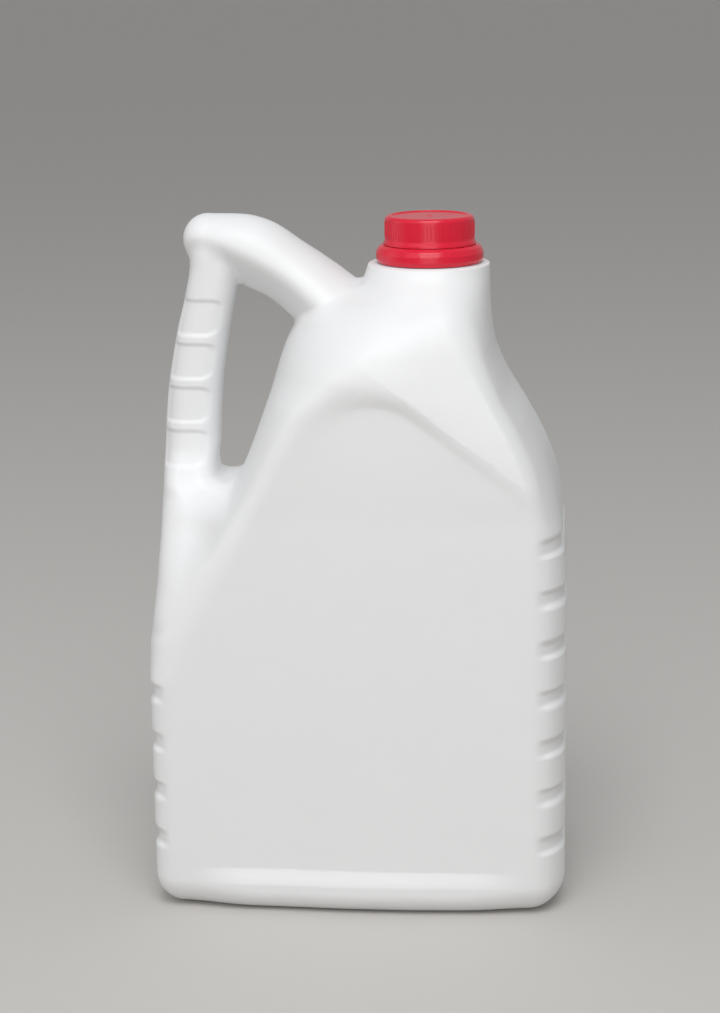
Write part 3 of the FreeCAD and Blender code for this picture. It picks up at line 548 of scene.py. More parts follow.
print(NOTCHES_NECK_SIDE, "notches on the neck side and", NOTCHES_GRIP_SIDE, "under the grip")

# %% The whole can
BASE_RADIUS, BASE_CORNER, CORNER_RANGE = 10.5, 15.0, (40, 92)
BROW_BLEND, BROW_RANGE = (5.0, 9.0), (20, 50)
ROOT_BLEND = guide((0, 0.5), (118, 0.5), (130, 1.5), (140, 4), (152, 11), (166, 19), (180, 17), (193, 10),
                   (205, 8), (320, 8))
ROOT_FILL, ROOT_FILL_SIDE, ROOT_FILL_RISE = 0.8, (5, 20), (172, 188)
ARM_BLEND, ARM_LANDS, ARM_SIDE = (3.5, 15), (0.55, 1), (6, 20)


def can(x, y, z, place=None):
    """All forms of the can as one: below zero inside its skin.  place is what along_arm gave, if known."""
    place = along_arm(x, z) if place is None else place
    body = trunk(x, y, z) + notches(x, z)
    body = meet(body, brow(x, y, z), mix(*BROW_BLEND, ease(*BROW_RANGE, x)))
    body = meet(body, label_face(x, y, z), mix(*LABEL_BLEND, ease(*GRIP_TO_LABEL, x)))
    base_edge = mix(BASE_RADIUS, BASE_CORNER, ease(*CORNER_RANGE, np.abs(x)))
    body = round_edge(body, base_height(x, y) - z, base_edge)
    root_fill = ease(*ROOT_FILL_SIDE, np.abs(y)) * ease(*ROOT_FILL_RISE, z)
    whole = join(body, grip(x, y, z), ROOT_BLEND(z) * (1 + ROOT_FILL * root_fill))
    landing = ease(*ARM_LANDS, place[0]) * ease(*ARM_SIDE, np.abs(y))
    return join(whole, arm(place, y), mix(*ARM_BLEND, landing))


# %% [markdown]
# ### From field to skin
# The field is read on a box grid.  Every grid cell that the skin crosses gets one point, and every
# crossed grid edge one quad between the four cells round it, so the mesh is closed by itself.  Then each
# point slides down the field's slope until it lies on the skin, and the slope there is its exact normal.
# The top is cut level under the collar, where the neck piece takes over.

# %% The can without its neck
BODY_TOP, NEAR_COLLAR = 291.4, 14.0


def open_can(x, y, z, place=None):
    """The can without its neck, closed by a level top where the neck will stand."""
    return np.maximum(can(x, y, z, place), np.minimum(z - BODY_TOP, x - NECK_X + COLLAR_RADIUS + NEAR_COLLAR))


# %% Positions for a grid
TRIAL_COUNT = 6000


def stations(spacing):
    """Grid positions from the first place to the last, with the spacing that a few (place, spacing) pairs ask
    for."""
    at = np.linspace(spacing[0][0], spacing[-1][0], TRIAL_COUNT)
    run = np.concatenate([[0], np.cumsum(np.diff(at) / np.interp(at[1:], *np.array(spacing).T))])
    return np.interp(np.linspace(0, run[-1], math.ceil(run[-1]) + 1), run, at)


# %% Skin of a field on a box grid
def skin(field, grid):
    """Points and quads of the field's zero surface: one point in each crossed cell."""
    xs, ys, zs = grid
    flat_x, flat_z = np.meshgrid(xs, zs, indexing="ij")
    place = along_arm(flat_x, flat_z)
    values = np.stack([field(flat_x, np.full_like(flat_x, y), flat_z, place) for y in ys], axis=1)
    cells = tuple(count - 1 for count in values.shape)
    crossings = np.zeros(cells)
    offset = np.zeros((3, *cells))
    for axis in range(3):
        first, second = [other for other in range(3) if other != axis]
        for corner in ((0, 0), (0, 1), (1, 0), (1, 1)):
            start = [0, 0, 0]
            start[first], start[second] = corner
            end = list(start)
            end[axis] = 1
            a = values[tuple(slice(s, s + n) for s, n in zip(start, cells))]
            b = values[tuple(slice(s, s + n) for s, n in zip(end, cells))]
            crossed = (a < 0) != (b < 0)
            crossings += crossed
            offset[axis] += np.where(crossed, a / np.where(crossed, a - b, 1), 0)
            offset[first] += crossed * corner[0]
            offset[second] += crossed * corner[1]
    used = crossings > 0
    number = np.full(cells, -1)
    number[used] = np.arange(used.sum())
    cell_at = np.argwhere(used)
    share = (offset[:, used] / crossings[used]).T
    points = np.stack([line[cell_at[:, k]] + share[:, k] * np.diff(line)[cell_at[:, k]]
                       for k, line in enumerate(grid)], axis=1)
    quads = []
    for axis in range(3):
        first, second = (axis + 1) % 3, (axis + 2) % 3
        here = [slice(1, -1)] * 3
        here[axis] = slice(0, -1)
        ahead = list(here)
        ahead[axis] = slice(1, None)
        a, b = values[tuple(here)] < 0, values[tuple(ahead)] < 0
        edge = np.argwhere(a != b) + 1
        edge[:, axis] -= 1
        around = []
        for back in ((1, 1), (0, 1), (0, 0), (1, 0)):
            cell_at = edge.copy()
            cell_at[:, first] -= back[0]
            cell_at[:, second] -= back[1]
            around.append(number[tuple(cell_at.T)])
        faces = np.stack(around, axis=1)
        leaving = a[a != b]
        faces[~leaving] = faces[~leaving][:, ::-1]
        quads.append(faces)
    return points, np.concatenate(quads)


# %% Onto the skin
LEAST_STEEPNESS, LONGEST_SLIDE = 0.05, 1.0


def slope(field, points, reach=0.15):
    """The field's gradient at each point."""
    sides = []
    for axis in range(3):
        shift = np.zeros(3)
        shift[axis] = reach
        sides.append(field(*(points + shift).T) - field(*(points - shift).T))
    return np.stack(sides, axis=1) / (2 * reach)


def settle(field, points, rounds):
    """Slide points onto the field's zero surface, and read the outward normals there."""
    for _ in range(rounds):
        down = slope(field, points)
        steep = np.maximum((down ** 2).sum(axis=1), LEAST_STEEPNESS)
        move = -(field(*points.T) / steep)[:, None] * down
        far = np.linalg.norm(move, axis=1)
        points = points + move * np.minimum(1, LONGEST_SLIDE / np.maximum(far, TINY))[:, None]
    down = slope(field, points)
    return points, down / np.linalg.norm(down, axis=1)[:, None]


# %% A mesh object from points in millimetres
def piece(name, points, faces, normals, material):
    """A shown piece with its own normals.  It sits at the origin, because its place is in its mesh."""
    mesh = bpy.data.meshes.new(name)
    mesh.from_pydata((np.asarray(points) * MM).tolist(), [], [list(map(int, face)) for face in faces])
    mesh.update()
    mesh.polygons.foreach_set("use_smooth", [True] * len(mesh.polygons))
    mesh.normals_split_custom_set_from_vertices(np.asarray(normals).tolist())
    mesh.materials.append(material)
    thing = bpy.data.objects.new(name, mesh)
    bpy.context.scene.collection.objects.link(thing)
    triangles = sum(len(face.vertices) - 2 for face in mesh.polygons)
    print(name, triangles, "triangles")
    return thing


# %% Where the grid is fine: (place, spacing) pairs along each axis
FINE_REACH, COARSE_REACH = 2.4, 3.6


def around(centres, reach, fine, coarse):
    """Fine spacing near each centre's two edges, coarse elsewhere."""
    spots = []
    for centre in centres:
        for edge in (centre - reach, centre + reach):
            spots += [(edge - COARSE_REACH, coarse), (edge - FINE_REACH, fine),
                      (edge + FINE_REACH, fine), (edge + COARSE_REACH, coarse)]
    return spots


NOTCH_REACH, PAD_REACH = NOTCH_HALF - 1.6, PAD_TALL / 2 - 1
notch_rows = NOTCH_FIRST + NOTCH_PITCH * np.arange(NOTCHES_NECK_SIDE)
pad_rows = PAD_FIRST + PAD_PITCH * np.arange(PAD_COUNT)
ALONG_X = ((-99, 1.2), (-60, 1.2), (-45, 2.0), (20, 2.0), (76, 2.0), (84, 1.2), (99, 1.1))
ALONG_Y = ((-69, 1.2), (-58, 1.2), (-46, 3), (-28, 3), (-19, 1.6), (19, 1.6), (28, 3), (46, 3), (58, 1.2),
           (69, 1.2))
ALONG_Z = ((-3, 1.2), (25, 1.2), *around(notch_rows, NOTCH_REACH, fine=1.15, coarse=2.6), (188, 1.9),
           (198, 1.3), *around(pad_rows, PAD_REACH, fine=0.75, coarse=1.4), (284, 1.3), (320, 1.1))
grid = [stations(spacing) for spacing in (ALONG_X, ALONG_Y, ALONG_Z)]
print("grid of", [len(line) for line in grid])

# %% Skin the can
SETTLE_ROUNDS = 3
points, faces = skin(open_can, grid)
points, normals = settle(open_can, points, SETTLE_ROUNDS)
bottle_skin = piece("bottle_skin", points, faces, normals, white_shell)
print("skin from", points.min(axis=0).round(2), "to", points.max(axis=0).round(2))

# %% [markdown]
# ### Collar and neck
# The collar is the last stretch of the funnel, where it has become round, and it ends in a flat ledge with
# a rounded edge.  The neck that stands on it is a tube with the bead that holds the tamper ring back.  Both
# are one piece here.  Its outer rows are found on the same field as the skin and lie a hair proud of it, so
# no seam shows.  The rest is an outline turned round the neck's axis, with true arcs at its corners.

# %% Outlines with rounded corners
ARC_STEPS, TURNS = 4, 128


def rounded(corners):
    """Points and outward normals along an outline of (radius, height, rounding) corners, walked
    upwards on the outside."""
    count = len(corners)
    points, normals = [], []
    for index in range(count):
        here = np.array(corners[index][:2], dtype=float)
        if here[0] == 0:
            points.append(here)
            normals.append(np.array([0.0, -1.0 if index == 0 else 1.0]))
            continue
        rounding = corners[index][2]
        before = np.array(corners[index - 1][:2]) - here
        after = np.array(corners[(index + 1) % count][:2]) - here
        before, after = before / np.linalg.norm(before), after / np.linalg.norm(after)
        normal_in = np.array([-before[1], before[0]])
        normal_out = np.array([after[1], -after[0]])
        half = math.acos(float(np.clip(before @ after, -1, 1))) / 2
        middle = here + (before + after) / np.linalg.norm(before + after) * rounding / math.sin(half)
        outward = 1 if normal_in @ (here - middle) > 0 else -1
        for step in range(ARC_STEPS + 1):
            lean = mix(normal_in, normal_out, step / ARC_STEPS)
            lean = lean / np.linalg.norm(lean)
            points.append(middle + outward * rounding * lean)
            normals.append(lean)
    return np.array(points), np.array(normals)


# %% Pieces turned round the neck's axis
def around_the_axis():
    """The directions from the axis to each upright row of a turned piece."""
    angle = np.linspace(0, 2 * math.pi, TURNS, endpoint=False)
    return np.stack([np.cos(angle), np.sin(angle)], axis=1)


def turned(name, corners, material, first_rows=None):
    """A closed piece turned round the neck axis.  An outline that starts and ends on the axis is closed
    by two poles, any other by itself; rows that are not round may be given as its first."""
    capped = corners[0][0] == 0
    points, leans = rounded(corners)
    ring = around_the_axis()
    rows, row_normals = ([], []) if first_rows is None else first_rows
    poles = []
    for (radius, height), lean in zip(points, leans):
        if radius == 0:
            poles.append((height, lean[1]))
            continue
        level = np.full((TURNS, 1), height)
        rows.append(np.hstack([ring * radius + [NECK_X, 0], level]))
        row_normals.append(np.hstack([ring * lean[0], np.full((TURNS, 1), lean[1])]))
    faces = []
    for row in range(len(rows) - capped):
        following = (row + 1) % len(rows)
        for turn in range(TURNS):
            beside = (turn + 1) % TURNS
            faces.append((row * TURNS + turn, row * TURNS + beside, following * TURNS + beside,
                          following * TURNS + turn))
    points, leans = np.concatenate(rows), np.concatenate(row_normals)
    if capped:
        first_pole, last_pole, last_row = len(points), len(points) + 1, (len(rows) - 1) * TURNS
        points = np.vstack([points] + [[NECK_X, 0, height] for height, _ in poles])
        leans = np.vstack([leans] + [[0, 0, lean] for _, lean in poles])
        for turn in range(TURNS):
            beside = (turn + 1) % TURNS
            faces.append((first_pole, beside, turn))
            faces.append((last_pole, last_row + turn, last_row + beside))
    return piece(name, points, faces, leans, material)


# %% Rows of the collar, found on the bottle's own field
LEDGE, LEDGE_EDGE = RING_FOOT, 0.9
INSIDE_COLLAR, HALVINGS, FINE_LOOK = 4.0, 26, 0.05


def collar(x, y, z):
    """The can cut off at the ledge, with the ledge's rounded edge."""
    return round_edge(can(x, y, z), z - LEDGE, LEDGE_EDGE)


def collar_row(height, proud):
    """One row round the collar at a height: each ray from the axis is followed to the skin."""
    ray = np.hstack([around_the_axis(), np.zeros((TURNS, 1))])
    axis = np.array([NECK_X, 0, height])
    inside = np.full(TURNS, COLLAR_RADIUS - INSIDE_COLLAR)
    outside = np.full(TURNS, COLLAR_RADIUS + NEAR_COLLAR)
    for _ in range(HALVINGS):
        middle = (inside + outside) / 2
        far = collar(*(axis + ray * middle[:, None]).T) > 0
        inside, outside = np.where(far, inside, middle), np.where(far, middle, outside)
    on_skin = axis + ray * inside[:, None]
    lean = slope(collar, on_skin, FINE_LOOK)
    lean = lean / np.linalg.norm(lean, axis=1)[:, None]
    return on_skin + lean * proud, lean


# %% From a row tucked under the skin, up the collar and over its edge
TUCKED, TUCKED_IN, PROUD = 287.6, -0.4, 0.02
COLLAR_LEVELS, EDGE_TURNS = (288, 289, 290, 290.8, BODY_TOP), (0.0, 0.3, 0.6, 0.9, 1.2, 1.45)
rows = [(TUCKED, TUCKED_IN)] + [(height, PROUD) for height in COLLAR_LEVELS]
rows += [(LEDGE - LEDGE_EDGE * (1 - math.sin(turn)), PROUD) for turn in EDGE_TURNS]
found = [collar_row(*row) for row in rows]
collar_rows = [row[0] for row in found], [row[1] for row in found]
across = collar_rows[0][len(COLLAR_LEVELS)][:, 0]
print("collar at", BODY_TOP, "reaches x", across.min().round(2), "to", across.max().round(2))

# %% The neck with its bead, sealing edge and bore: each corner is radius, height, rounding
MOUTH, BEAD = 311.2, 296.0
THROAT_RADIUS, BEAD_RADIUS, FINISH_RADIUS, BORE_RADIUS = 20.3, 21.6, 17.6, 15.4
neck = turned("neck", [
    (THROAT_RADIUS, LEDGE, 0.5),
    (THROAT_RADIUS, BEAD, 0.3), (BEAD_RADIUS, BEAD + 0.6, 0.2), (BEAD_RADIUS, BEAD + 1.4, 0.3),
    (FINISH_RADIUS, BEAD + 3.6, 0.6), (FINISH_RADIUS, MOUTH - 0.8, 0.3), (FINISH_RADIUS - 0.8, MOUTH, 0.3),
    (BORE_RADIUS, MOUTH, 0.3), (BORE_RADIUS, TUCKED, 0.3)], white_shell, first_rows=collar_rows)

# %% [markdown]
# ## The screw thread
# Bottle and cap carry the same thread, a ridge that climbs 4 mm in every turn and fades out at both ends.
# It follows a path, so one Geometry Nodes tree draws it as a trapezoid swept along a spiral.  The spiral
# runs close to the face of the wall that carries it, so about half of the ridge stands out.  The cap's copy
# is shorter and starts higher.

# %% A helper for geometry trees
def geometry_tree(name, inputs):
    """An empty geometry group with the given inputs, and its two end nodes."""
    tree = bpy.data.node_groups.new(name, "GeometryNodeTree")
    for label, kind, value in inputs:
        socket = tree.interface.new_socket(label, in_out="INPUT", socket_type=kind)
        if value is not None:
            socket.default_value = value
    tree.interface.new_socket("Geometry", in_out="OUTPUT", socket_type="NodeSocketGeometry")
    return tree, tree.nodes.new("NodeGroupInput"), tree.nodes.new("NodeGroupOutput")


def add(tree, kind, settings=(), **links):
    """A node with its properties set and its inputs linked or filled in."""
    node = tree.nodes.new(kind)
    for label, value in settings:
        setattr(node, label, value)
    for label, value in links.items():
        socket = node.inputs[label.replace("_", " ")]
        if isinstance(value, bpy.types.NodeSocket):
            tree.links.new(value, socket)
        else:
            socket.default_value = value
    return node


def grow(name, tree, values, material):
    """Run a tree on an empty mesh with its inputs set, and keep the result as one plain mesh."""
    holder = bpy.data.objects.new(name, bpy.data.meshes.new(name + "_start"))
    bpy.context.scene.collection.objects.link(holder)
    modifier = holder.modifiers.new(name, "NODES")
    modifier.node_group = tree
    wanted = {**values, "Material": material}
    for item in tree.interface.items_tree:
        if item.item_type == "SOCKET" and item.in_out == "INPUT" and item.name in wanted:
            modifier[item.identifier] = wanted[item.name]
    holder.update_tag()
    shown = holder.evaluated_get(bpy.context.evaluated_depsgraph_get())
    mesh = bpy.data.meshes.new_from_object(shown)
    holder.modifiers.clear()
    holder.data = mesh
    mesh.name = name
    mesh.materials.clear()
    mesh.materials.append(material)
    print(name, sum(len(face.vertices) - 2 for face in mesh.polygons), "triangles")
    return holder


# %% Two steps that both trees share
def faded_ends(tree, given, curve_kind):
    """A size along a path: full in its middle, smaller towards both ends."""
    path = add(tree, "GeometryNodeSplineParameter")
    from_end = calculate(tree, "PINGPONG", path.outputs["Factor"], 0.5)
    size = add(tree, "ShaderNodeMapRange", [("interpolation_type", curve_kind)], Value=from_end,
               From_Max=given.outputs["End share"], To_Min=given.outputs["End size"])
    return size.outputs["Result"]


def stand_and_paint(tree, given, gives, geometry, smooth):
    """Move the geometry to the neck's axis, shade it, make it real and give it its material."""
    place = add(tree, "ShaderNodeCombineXYZ", X=given.outputs["Axis X"], Z=given.outputs["Foot"])
    moved = add(tree, "GeometryNodeTransform", Geometry=geometry, Translation=place.outputs[0])
    shaded = add(tree, "GeometryNodeSetShadeSmooth", Geometry=moved.outputs["Geometry"], Shade_Smooth=smooth)
    real = add(tree, "GeometryNodeRealizeInstances", Geometry=shaded.outputs["Geometry"])
    painted = add(tree, "GeometryNodeSetMaterial", Geometry=real.outputs["Geometry"],
                  Material=given.outputs["Material"])
    tree.links.new(painted.outputs["Geometry"], gives.inputs["Geometry"])


# %% The thread tree
thread, given, gives = geometry_tree("screw_thread", [
    ("Radius", "NodeSocketFloat", 0.0176), ("Foot", "NodeSocketFloat", 0.3),
    ("Turns", "NodeSocketFloat", 1.5), ("Lead", "NodeSocketFloat", 0.004),
    ("Steps a turn", "NodeSocketInt", 72),
    ("Ridge depth", "NodeSocketFloat", 0.0022), ("Ridge foot", "NodeSocketFloat", 0.0021),
    ("Ridge crest", "NodeSocketFloat", 0.0008), ("End share", "NodeSocketFloat", 0.06),
    ("End size", "NodeSocketFloat", 0.05), ("Axis X", "NodeSocketFloat", 0.0318),
    ("Material", "NodeSocketMaterial", None)])
rise = calculate(thread, "MULTIPLY", given.outputs["Turns"], given.outputs["Lead"])
spiral = add(thread, "GeometryNodeCurveSpiral", Resolution=given.outputs["Steps a turn"],
             Rotations=given.outputs["Turns"], Start_Radius=given.outputs["Radius"],
             End_Radius=given.outputs["Radius"], Height=rise)
ridge = add(thread, "GeometryNodeCurvePrimitiveQuadrilateral", [("mode", "TRAPEZOID")],
            Height=given.outputs["Ridge depth"], Bottom_Width=given.outputs["Ridge foot"],
            Top_Width=given.outputs["Ridge crest"], Offset=0.0)
swept = add(thread, "GeometryNodeCurveToMesh", Curve=spiral.outputs["Curve"],
            Profile_Curve=ridge.outputs["Curve"], Fill_Caps=True,
            Scale=faded_ends(thread, given, "SMOOTHSTEP"))
stand_and_paint(thread, given, gives, swept.outputs["Mesh"], smooth=False)

# %% The neck's thread
LEAD, THREAD_START, NECK_TURNS, THREAD_ROOT = 4.0, BEAD + 5.0, 1.75, 0.2
neck_thread = grow("neck_thread", thread, {
    "Radius": (FINISH_RADIUS - THREAD_ROOT) * MM, "Foot": THREAD_START * MM, "Turns": NECK_TURNS,
    "Lead": LEAD * MM, "Axis X": NECK_X * MM}, white_shell)
ends = np.array([tuple(vertex.co) for vertex in neck_thread.data.vertices])
print("thread from z", (ends[:, 2].min() / MM).round(2), "to", (ends[:, 2].max() / MM).round(2),
      "crest", (np.hypot(ends[:, 0] - NECK_X * MM, ends[:, 1]).max() / MM).round(2))

# %% [markdown]
# ## Screw cap, tamper ring and sealing disc
# The closure is injection moulded, so its walls are even and its edges small but never sharp.  All three
# are turned pieces.  The recess in the cap's top carries the small point where the plastic entered the
# mould.  The cap's skirt flares at its foot, and the ring's rim follows it with a narrow gap between them.

# %% The cap, each corner again as radius, height, rounding
CAP_RADIUS, CAP_WALL, CAP_PLATE, RIB_HEIGHT = 20.5, 1.4, 1.7, 0.16
skirt = CAP_RADIUS - RIB_HEIGHT
inner = CAP_RADIUS - CAP_WALL
RECESS, GATE_TOP = CAP_TOP - 0.45, CAP_TOP - 0.25
screw_cap = turned("moulded_cap", [
    (0, CAP_TOP - CAP_PLATE, 0), (inner, CAP_TOP - CAP_PLATE, 0.5), (inner, CAP_FOOT, 0.25),
    (CAP_RADIUS + 0.6, CAP_FOOT, 0.25), (CAP_RADIUS + 0.5, CAP_FOOT + 0.9, 0.5), (skirt, CAP_FOOT + 2.5, 1.2),
    (skirt, CAP_TOP, 2.0), (CAP_RADIUS - 3.1, CAP_TOP, 0.25), (CAP_RADIUS - 3.5, RECESS, 0.25),
    (1.4, RECESS, 0.2), (1.1, GATE_TOP, 0.15), (0, GATE_TOP, 0)], red_closure)

# %% The ring, from its foot up the outside, over the rim and down the inside
RING_RADIUS, RING_BASE, RIM = 24.5, RING_FOOT + 0.3, CAP_FOOT - 0.15
tamper_ring = turned("moulded_ring", [
    (RING_RADIUS - 0.9, RING_BASE, 0.4), (RING_RADIUS, RING_BASE + 2.0, 1.2), (RING_RADIUS, RIM - 3.4, 1.4),
    (RING_RADIUS - 1, RIM - 1.2, 0.8), (RING_RADIUS - 2.7, RIM, 0.4), (RING_RADIUS - 4.3, RIM, 0.2),
    (RING_RADIUS - 4.3, RIM - 1, 0.2), (RING_RADIUS - 2.5, RIM - 2.2, 0.3),
    (RING_RADIUS - 2.5, RING_BASE + 2.2, 0.3), (RING_RADIUS - 3.7, RING_BASE + 1.9, 0.2),
    (RING_RADIUS - 3.7, RING_BASE + 0.4, 0.15), (RING_RADIUS - 3.3, RING_BASE, 0.15)], red_closure)

# %% The sealing disc
LINER_RADIUS = 18.4
liner = turned("foam_liner", [
    (0, liner_low[2], 0), (LINER_RADIUS, liner_low[2], 0.2), (LINER_RADIUS, liner_high[2], 0.2),
    (0, liner_high[2], 0)], seal_foam)

# %% [markdown]
# ### Ribs and nibs
# Fingers need something to hold on the smooth cap, so its skirt carries fine upright ribs.  The ring was
# moulded in one with the cap and hangs from it by small nibs that snap on first opening.  Both are the
# same thing, bars standing in a circle, so one Geometry Nodes tree makes them with different values.

# %% A ring of upright bars
bars, given, gives = geometry_tree("ring_of_bars", [
    ("Count", "NodeSocketInt", 72), ("Ring radius", "NodeSocketFloat", 0.0202),
    ("Foot", "NodeSocketFloat", 0.3), ("Tall", "NodeSocketFloat", 0.01),
    ("Bar radius", "NodeSocketFloat", 0.0003), ("Levels", "NodeSocketInt", 7), ("Sides", "NodeSocketInt", 8),
    ("End share", "NodeSocketFloat", 0.17), ("End size", "NodeSocketFloat", 0.25),
    ("Axis X", "NodeSocketFloat", 0.0318), ("Material", "NodeSocketMaterial", None)])
circle = add(bars, "GeometryNodeMeshCircle", Vertices=given.outputs["Count"],
             Radius=given.outputs["Ring radius"])
bar_end = add(bars, "ShaderNodeCombineXYZ", Z=given.outputs["Tall"])
upright = add(bars, "GeometryNodeCurvePrimitiveLine", End=bar_end.outputs[0])
levels = add(bars, "GeometryNodeResampleCurve", [("mode", "COUNT")], Curve=upright.outputs["Curve"],
             Count=given.outputs["Levels"])
outline = add(bars, "GeometryNodeCurvePrimitiveCircle", Resolution=given.outputs["Sides"],
              Radius=given.outputs["Bar radius"])
bar = add(bars, "GeometryNodeCurveToMesh", Curve=levels.outputs["Curve"],
          Profile_Curve=outline.outputs["Curve"], Fill_Caps=True,
          Scale=faded_ends(bars, given, "SMOOTHERSTEP"))
placed = add(bars, "GeometryNodeInstanceOnPoints", Points=circle.outputs["Mesh"],
             Instance=bar.outputs["Mesh"])
stand_and_paint(bars, given, gives, placed.outputs["Instances"], smooth=True)

# %% Ribs on the cap
RIB_COUNT, RIB_FOOT, RIB_SHORTER = 72, CAP_FOOT + 2.6, 4.8
cap_ribs = grow("cap_ribs", bars, {
    "Count": RIB_COUNT, "Ring radius": skirt * MM, "Foot": RIB_FOOT * MM,
    "Tall": (CAP_TOP - CAP_FOOT - RIB_SHORTER) * MM, "Bar radius": RIB_HEIGHT * MM,
    "Axis X": NECK_X * MM}, red_closure)

# %% Nibs on the ring
NIB_COUNT, NIB_SET_IN, NIB_FOOT, NIB_TALL, NIB_RADIUS = 20, 3.6, RIM - 0.6, 0.7, 0.45
ring_nibs = grow("ring_nibs", bars, {
    "Count": NIB_COUNT, "Ring radius": (RING_RADIUS - NIB_SET_IN) * MM, "Foot": NIB_FOOT * MM,
    "Tall": NIB_TALL * MM, "Bar radius": NIB_RADIUS * MM, "Axis X": NECK_X * MM}, red_closure)

# %% The cap's own thread
CAP_TURNS, CAP_THREAD_START, CAP_THREAD_ROOT = 1.25, THREAD_START + LEAD / 2 + 2.4, 0.15
cap_thread = grow("cap_thread", thread, {
    "Radius": (inner - CAP_THREAD_ROOT) * MM, "Foot": CAP_THREAD_START * MM, "Turns": CAP_TURNS,
    "Lead": LEAD * MM, "Axis X": NECK_X * MM}, red_closure)

# %% [markdown]
# ## What each piece rides on, and what it replaces
# Bottle, neck, thread, ring and nibs stay together on the can.  The foam disc is the seal, which only
# lifts, and the cap with its ribs and thread turns on it.  Bottle, ring, cap and disc each replace the
# imported piece they follow.  Neck, threads, ribs and nibs are parts of those four.

# %% Ride, and hide the pieces that are replaced
for thing, body, slot in ((bottle_skin, "can", "white_shell"), (neck, "can", "white_shell"),
                          (neck_thread, "can", "white_shell"), (tamper_ring, "can", "red_closure"),
                          (ring_nibs, "can", "red_closure"), (liner, "seal", "seal_foam"),
                          (screw_cap, "cap", "red_closure"), (cap_ribs, "cap", "red_closure"),
                          (cap_thread, "cap", "red_closure")):
    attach(thing, body)
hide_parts("bottle")
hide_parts("tamper_ring")
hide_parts("screw_cap")
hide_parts("cap_liner")

# %% [markdown]
# ## The studio
# A plain pale floor that runs back until it reads as a wall, five large soft lamps and an even sky.  The
# strongest lamp hangs above and in front.  It brightens whatever leans back, such as the hood and the
# shoulders, and leaves the narrow sides to fall off.
#
# The floor's paper has two greys.  The paler one is what the camera and reflections see.  The darker and
# warmer one is what throws light back up at the can, because a white can shows every bit of such light.
# The Light Path node tells which of the two is asked for.

# %% Floor
FLOOR_REACH, FLOOR_CORNERS, FLOOR_ROUGHNESS = 40.0, 96, 0.7
PAPER_SEEN, PAPER_THROWN_BACK = (0.60, 0.585, 0.565, 1), (0.44, 0.41, 0.38, 1)
rim = [(FLOOR_REACH * math.cos(turn), FLOOR_REACH * math.sin(turn), 0.0)
       for turn in np.linspace(0, 2 * math.pi, FLOOR_CORNERS, endpoint=False)]
floor_mesh = bpy.data.meshes.new("studio_floor")
floor_mesh.from_pydata(rim, [], [tuple(range(len(rim)))])
studio_floor = bpy.data.objects.new("studio_floor", floor_mesh)
bpy.context.scene.collection.objects.link(studio_floor)
floor_paint = bpy.data.materials.new("floor_paper")
floor_paint.use_nodes = True
shader = floor_paint.node_tree.nodes["Principled BSDF"]
shader.inputs["Roughness"].default_value = FLOOR_ROUGHNESS
tree = floor_paint.node_tree
seen = tree.nodes.new("ShaderNodeLightPath")
looked_at = calculate(tree, "MAXIMUM", seen.outputs["Is Camera Ray"], seen.outputs["Is Glossy Ray"])
looked_at = calculate(tree, "MAXIMUM", looked_at, seen.outputs["Is Transmission Ray"])
paper = tree.nodes.new("ShaderNodeMix")
paper.data_type = "RGBA"
paper.inputs["A"].default_value = PAPER_THROWN_BACK
paper.inputs["B"].default_value = PAPER_SEEN
tree.links.new(looked_at, paper.inputs["Factor"])
tree.links.new(paper.outputs["Result"], shader.inputs["Base Color"])
floor_mesh.materials.append(floor_paint)
print("floor", 2 * FLOOR_REACH, "m across")

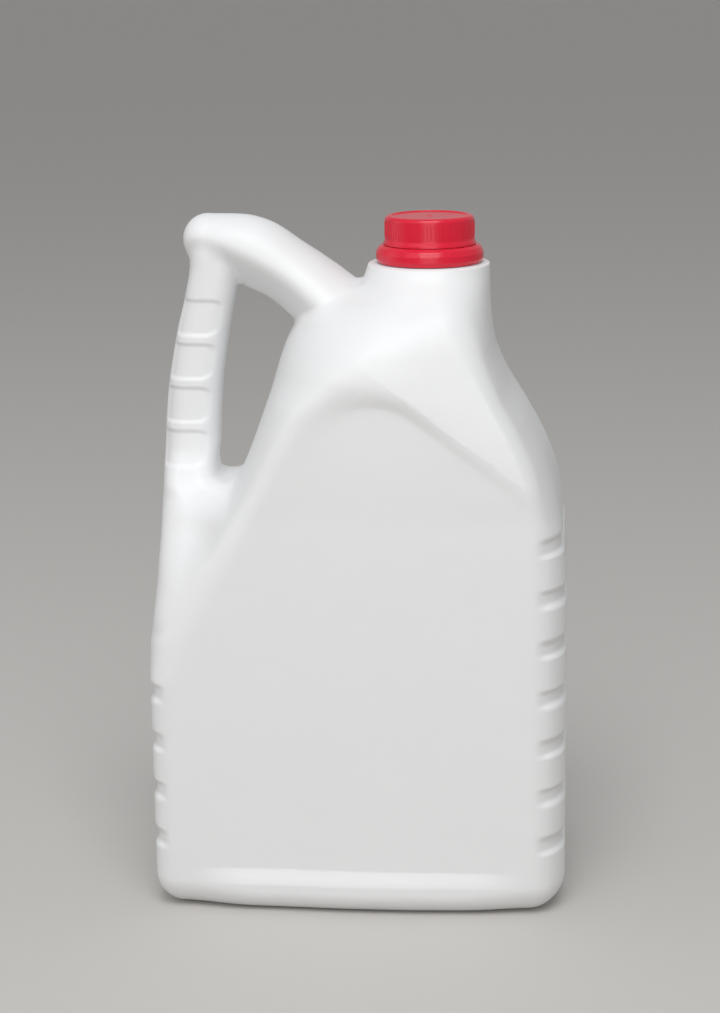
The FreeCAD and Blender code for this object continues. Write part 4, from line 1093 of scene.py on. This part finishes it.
# %% Sky
SKY_STRENGTH = 0.384
sky = bpy.data.worlds.new("even_sky")
sky.use_nodes = True
sky.node_tree.nodes["Background"].inputs["Color"].default_value = (1, 1, 1, 1)
sky.node_tree.nodes["Background"].inputs["Strength"].default_value = SKY_STRENGTH
bpy.context.scene.world = sky

# %% Lamps: name, place and side in metres, watts
AIM = Vector((0, 0, 0.17))
LAMPS = (("above_front", (0.1, -1.0, 1.9), 1.2, 19.6), ("front", (0.1, -2.2, 0.6), 1.4, 10.0),
         ("front_left", (-0.9, -1.3, 1.5), 1.2, 2.8), ("left", (-2.0, -0.2, 0.7), 1.4, 3.0),
         ("right", (2.0, -0.2, 0.7), 1.4, 0.4))
for name, place, size, watts in LAMPS:
    lamp = bpy.data.lights.new(name, "AREA")
    lamp.shape = "SQUARE"
    lamp.size = size
    lamp.energy = watts
    holder = bpy.data.objects.new(name, lamp)
    holder.location = place
    holder.rotation_euler = (Vector(place) - AIM).to_track_quat("Z", "Y").to_euler()
    bpy.context.scene.collection.objects.link(holder)
print(len(LAMPS), "lamps,", round(sum(lamp[3] for lamp in LAMPS), 1), "watts in all")

# %% Camera
DISTANCE, TURN, PITCH, ROLL = 1.1, math.radians(5.026), math.radians(13.637), math.radians(-0.796)
LOOK_AT = Vector((-0.00163, 0, 0.178122))
SENSOR, LENS, NEAREST, FARTHEST = 36.0, 83.57, 0.01, 200.0
back = Vector((math.sin(TURN) * math.cos(PITCH), -math.cos(TURN) * math.cos(PITCH), math.sin(PITCH)))
level = (-back).cross(Vector((0, 0, 1))).normalized()
upward = level.cross(-back)
right = level * math.cos(ROLL) + upward * math.sin(ROLL)
up = -level * math.sin(ROLL) + upward * math.cos(ROLL)
centre = LOOK_AT + back * DISTANCE
camera = bpy.data.objects.new("camera", bpy.data.cameras.new("camera"))
bpy.context.scene.collection.objects.link(camera)
stand = [(right[row], up[row], back[row], centre[row]) for row in range(3)]
camera.matrix_world = Matrix(stand + [(0, 0, 0, 1)])
camera.data.sensor_fit = "AUTO"
camera.data.sensor_width = SENSOR
camera.data.lens = LENS
camera.data.clip_start, camera.data.clip_end = NEAREST, FARTHEST
bpy.context.scene.camera = camera
bpy.context.scene.view_settings.view_transform = "Standard"
print("camera at", [round(value, 3) for value in centre])
